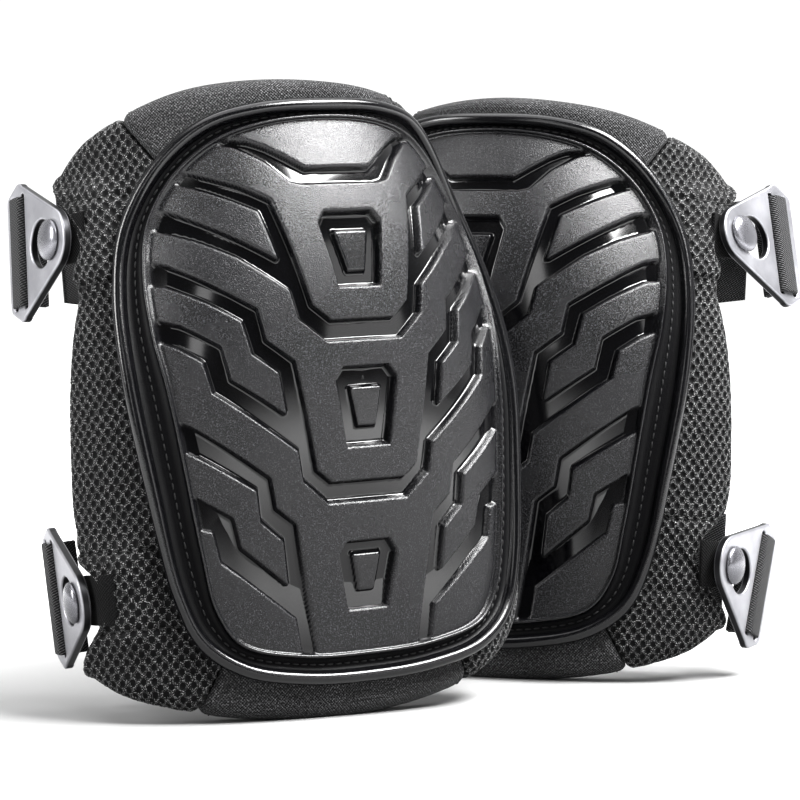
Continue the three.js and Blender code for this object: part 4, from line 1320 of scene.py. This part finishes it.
def make_floor():
    """A plain floor. It is darker near the pads because the light on them would burn it out."""
    mesh = bpy.data.meshes.new("floor")
    size = 12
    corners = [(-size, -size, 0), (size, -size, 0), (size, size, 0), (-size, size, 0)]
    mesh.from_pydata(corners, [], [(0, 1, 2, 3)])
    floor = link(bpy.data.objects.new("floor", mesh))
    material, tree, shader = new_material("pale_floor")
    length = tree.nodes.new("ShaderNodeVectorMath")
    length.operation = "LENGTH"
    tree.links.new(object_coordinates(tree), length.inputs[0])
    far = remap(tree, length.outputs["Value"], 0.24, 1.0, 0, 1, "SMOOTHSTEP")
    paint(tree, shader, blend_colors(tree, far, FLOOR_NEAR, FLOOR_FAR), specular_ior_level=0, roughness=0.9)
    mesh.materials.append(material)


def softbox(name, place, target, size, power):
    light = bpy.data.lights.new(name, "AREA")
    light.shape = "RECTANGLE"
    light.size, light.size_y = size
    light.energy = power
    lamp = link(bpy.data.objects.new(name, light))
    lamp.location = place
    lamp.rotation_mode = "QUATERNION"
    lamp.rotation_quaternion = (Vector(target) - Vector(place)).to_track_quat("-Z", "Y")


ROOM_FRONT, ROOM_BACK = 0.12, 1.1
SOFTBOXES = {
    "overhead_right": ((0.95, -0.32, 1.5), (1.4, 0.7), 135),
    "right_window": ((1.45, -0.75, 0.6), (0.8, 0.7), 5),
    "left_window": ((-1.6, -0.6, 0.85), (0.6, 1.0), 36),
    "front_window": ((-0.45, -1.7, 0.75), (0.3, 0.8), 4),
}


def make_light():
    """A room that is bright behind and darker in front, and softboxes. The camera sees it white."""
    world = bpy.data.worlds.new("studio")
    world.use_nodes = True
    tree = world.node_tree
    background = tree.nodes["Background"]
    background.inputs["Color"].default_value = (1, 1, 1, 1)
    split = tree.nodes.new("ShaderNodeSeparateXYZ")
    tree.links.new(tree.nodes.new("ShaderNodeTexCoord").outputs["Generated"], split.inputs[0])
    strength = remap(tree, split.outputs[1], -0.3, 0.8, ROOM_FRONT, ROOM_BACK, "SMOOTHSTEP")
    seen = tree.nodes.new("ShaderNodeLightPath").outputs["Is Camera Ray"]
    strength = value_math(tree, "MAXIMUM", strength, seen)
    tree.links.new(strength, background.inputs["Strength"])
    bpy.context.scene.world = world
    bpy.context.scene.view_settings.view_transform = "Standard"
    bpy.context.scene.view_settings.gamma = 0.86
    for name, (place, size, power) in SOFTBOXES.items():
        softbox(name, place, (0, 0, 0.13), size, power)
    sky = bpy.data.lights.new("ceiling", "SUN")
    sky.energy = 3.6
    sky.angle = math.radians(70)
    link(bpy.data.objects.new("ceiling", sky))


# Where the camera stands from the left pad's own origin, in millimetres
CAMERA_FROM_PAD = (12.114, -1204.660, 43.052)
CAMERA_LENS = 144
CAMERA_DOWN, CAMERA_ROLL = 2.247, 0.18
CAMERA_SHIFT = -0.0151


def make_camera(pad):
    data = bpy.data.cameras.new("camera")
    data.sensor_width = 36
    data.lens = CAMERA_LENS
    data.shift_y = CAMERA_SHIFT
    data.clip_start, data.clip_end = 0.05, 50
    camera = link(bpy.data.objects.new("camera", data))
    camera.location = Vector((pad.place + CAMERA_FROM_PAD) * MM)
    looking = Matrix.Rotation(math.radians(90 - CAMERA_DOWN), 4, "X") @ Matrix.Rotation(
        math.radians(CAMERA_ROLL), 4, "Z")
    camera.rotation_euler = looking.to_euler()
    bpy.context.scene.camera = camera


pads = [Pad(spec) for spec in PADS]
make_camera(pads[0])
for pad in pads:
    make_cap(pad)
    make_body(pad)
    for part in STUD_PLACES:
        make_tab(pad, part)
        make_stud(pad, part)
        make_clip(pad, part)
        make_strap_end(pad, part)
        make_strap(pad, part)
make_floor()
make_light()
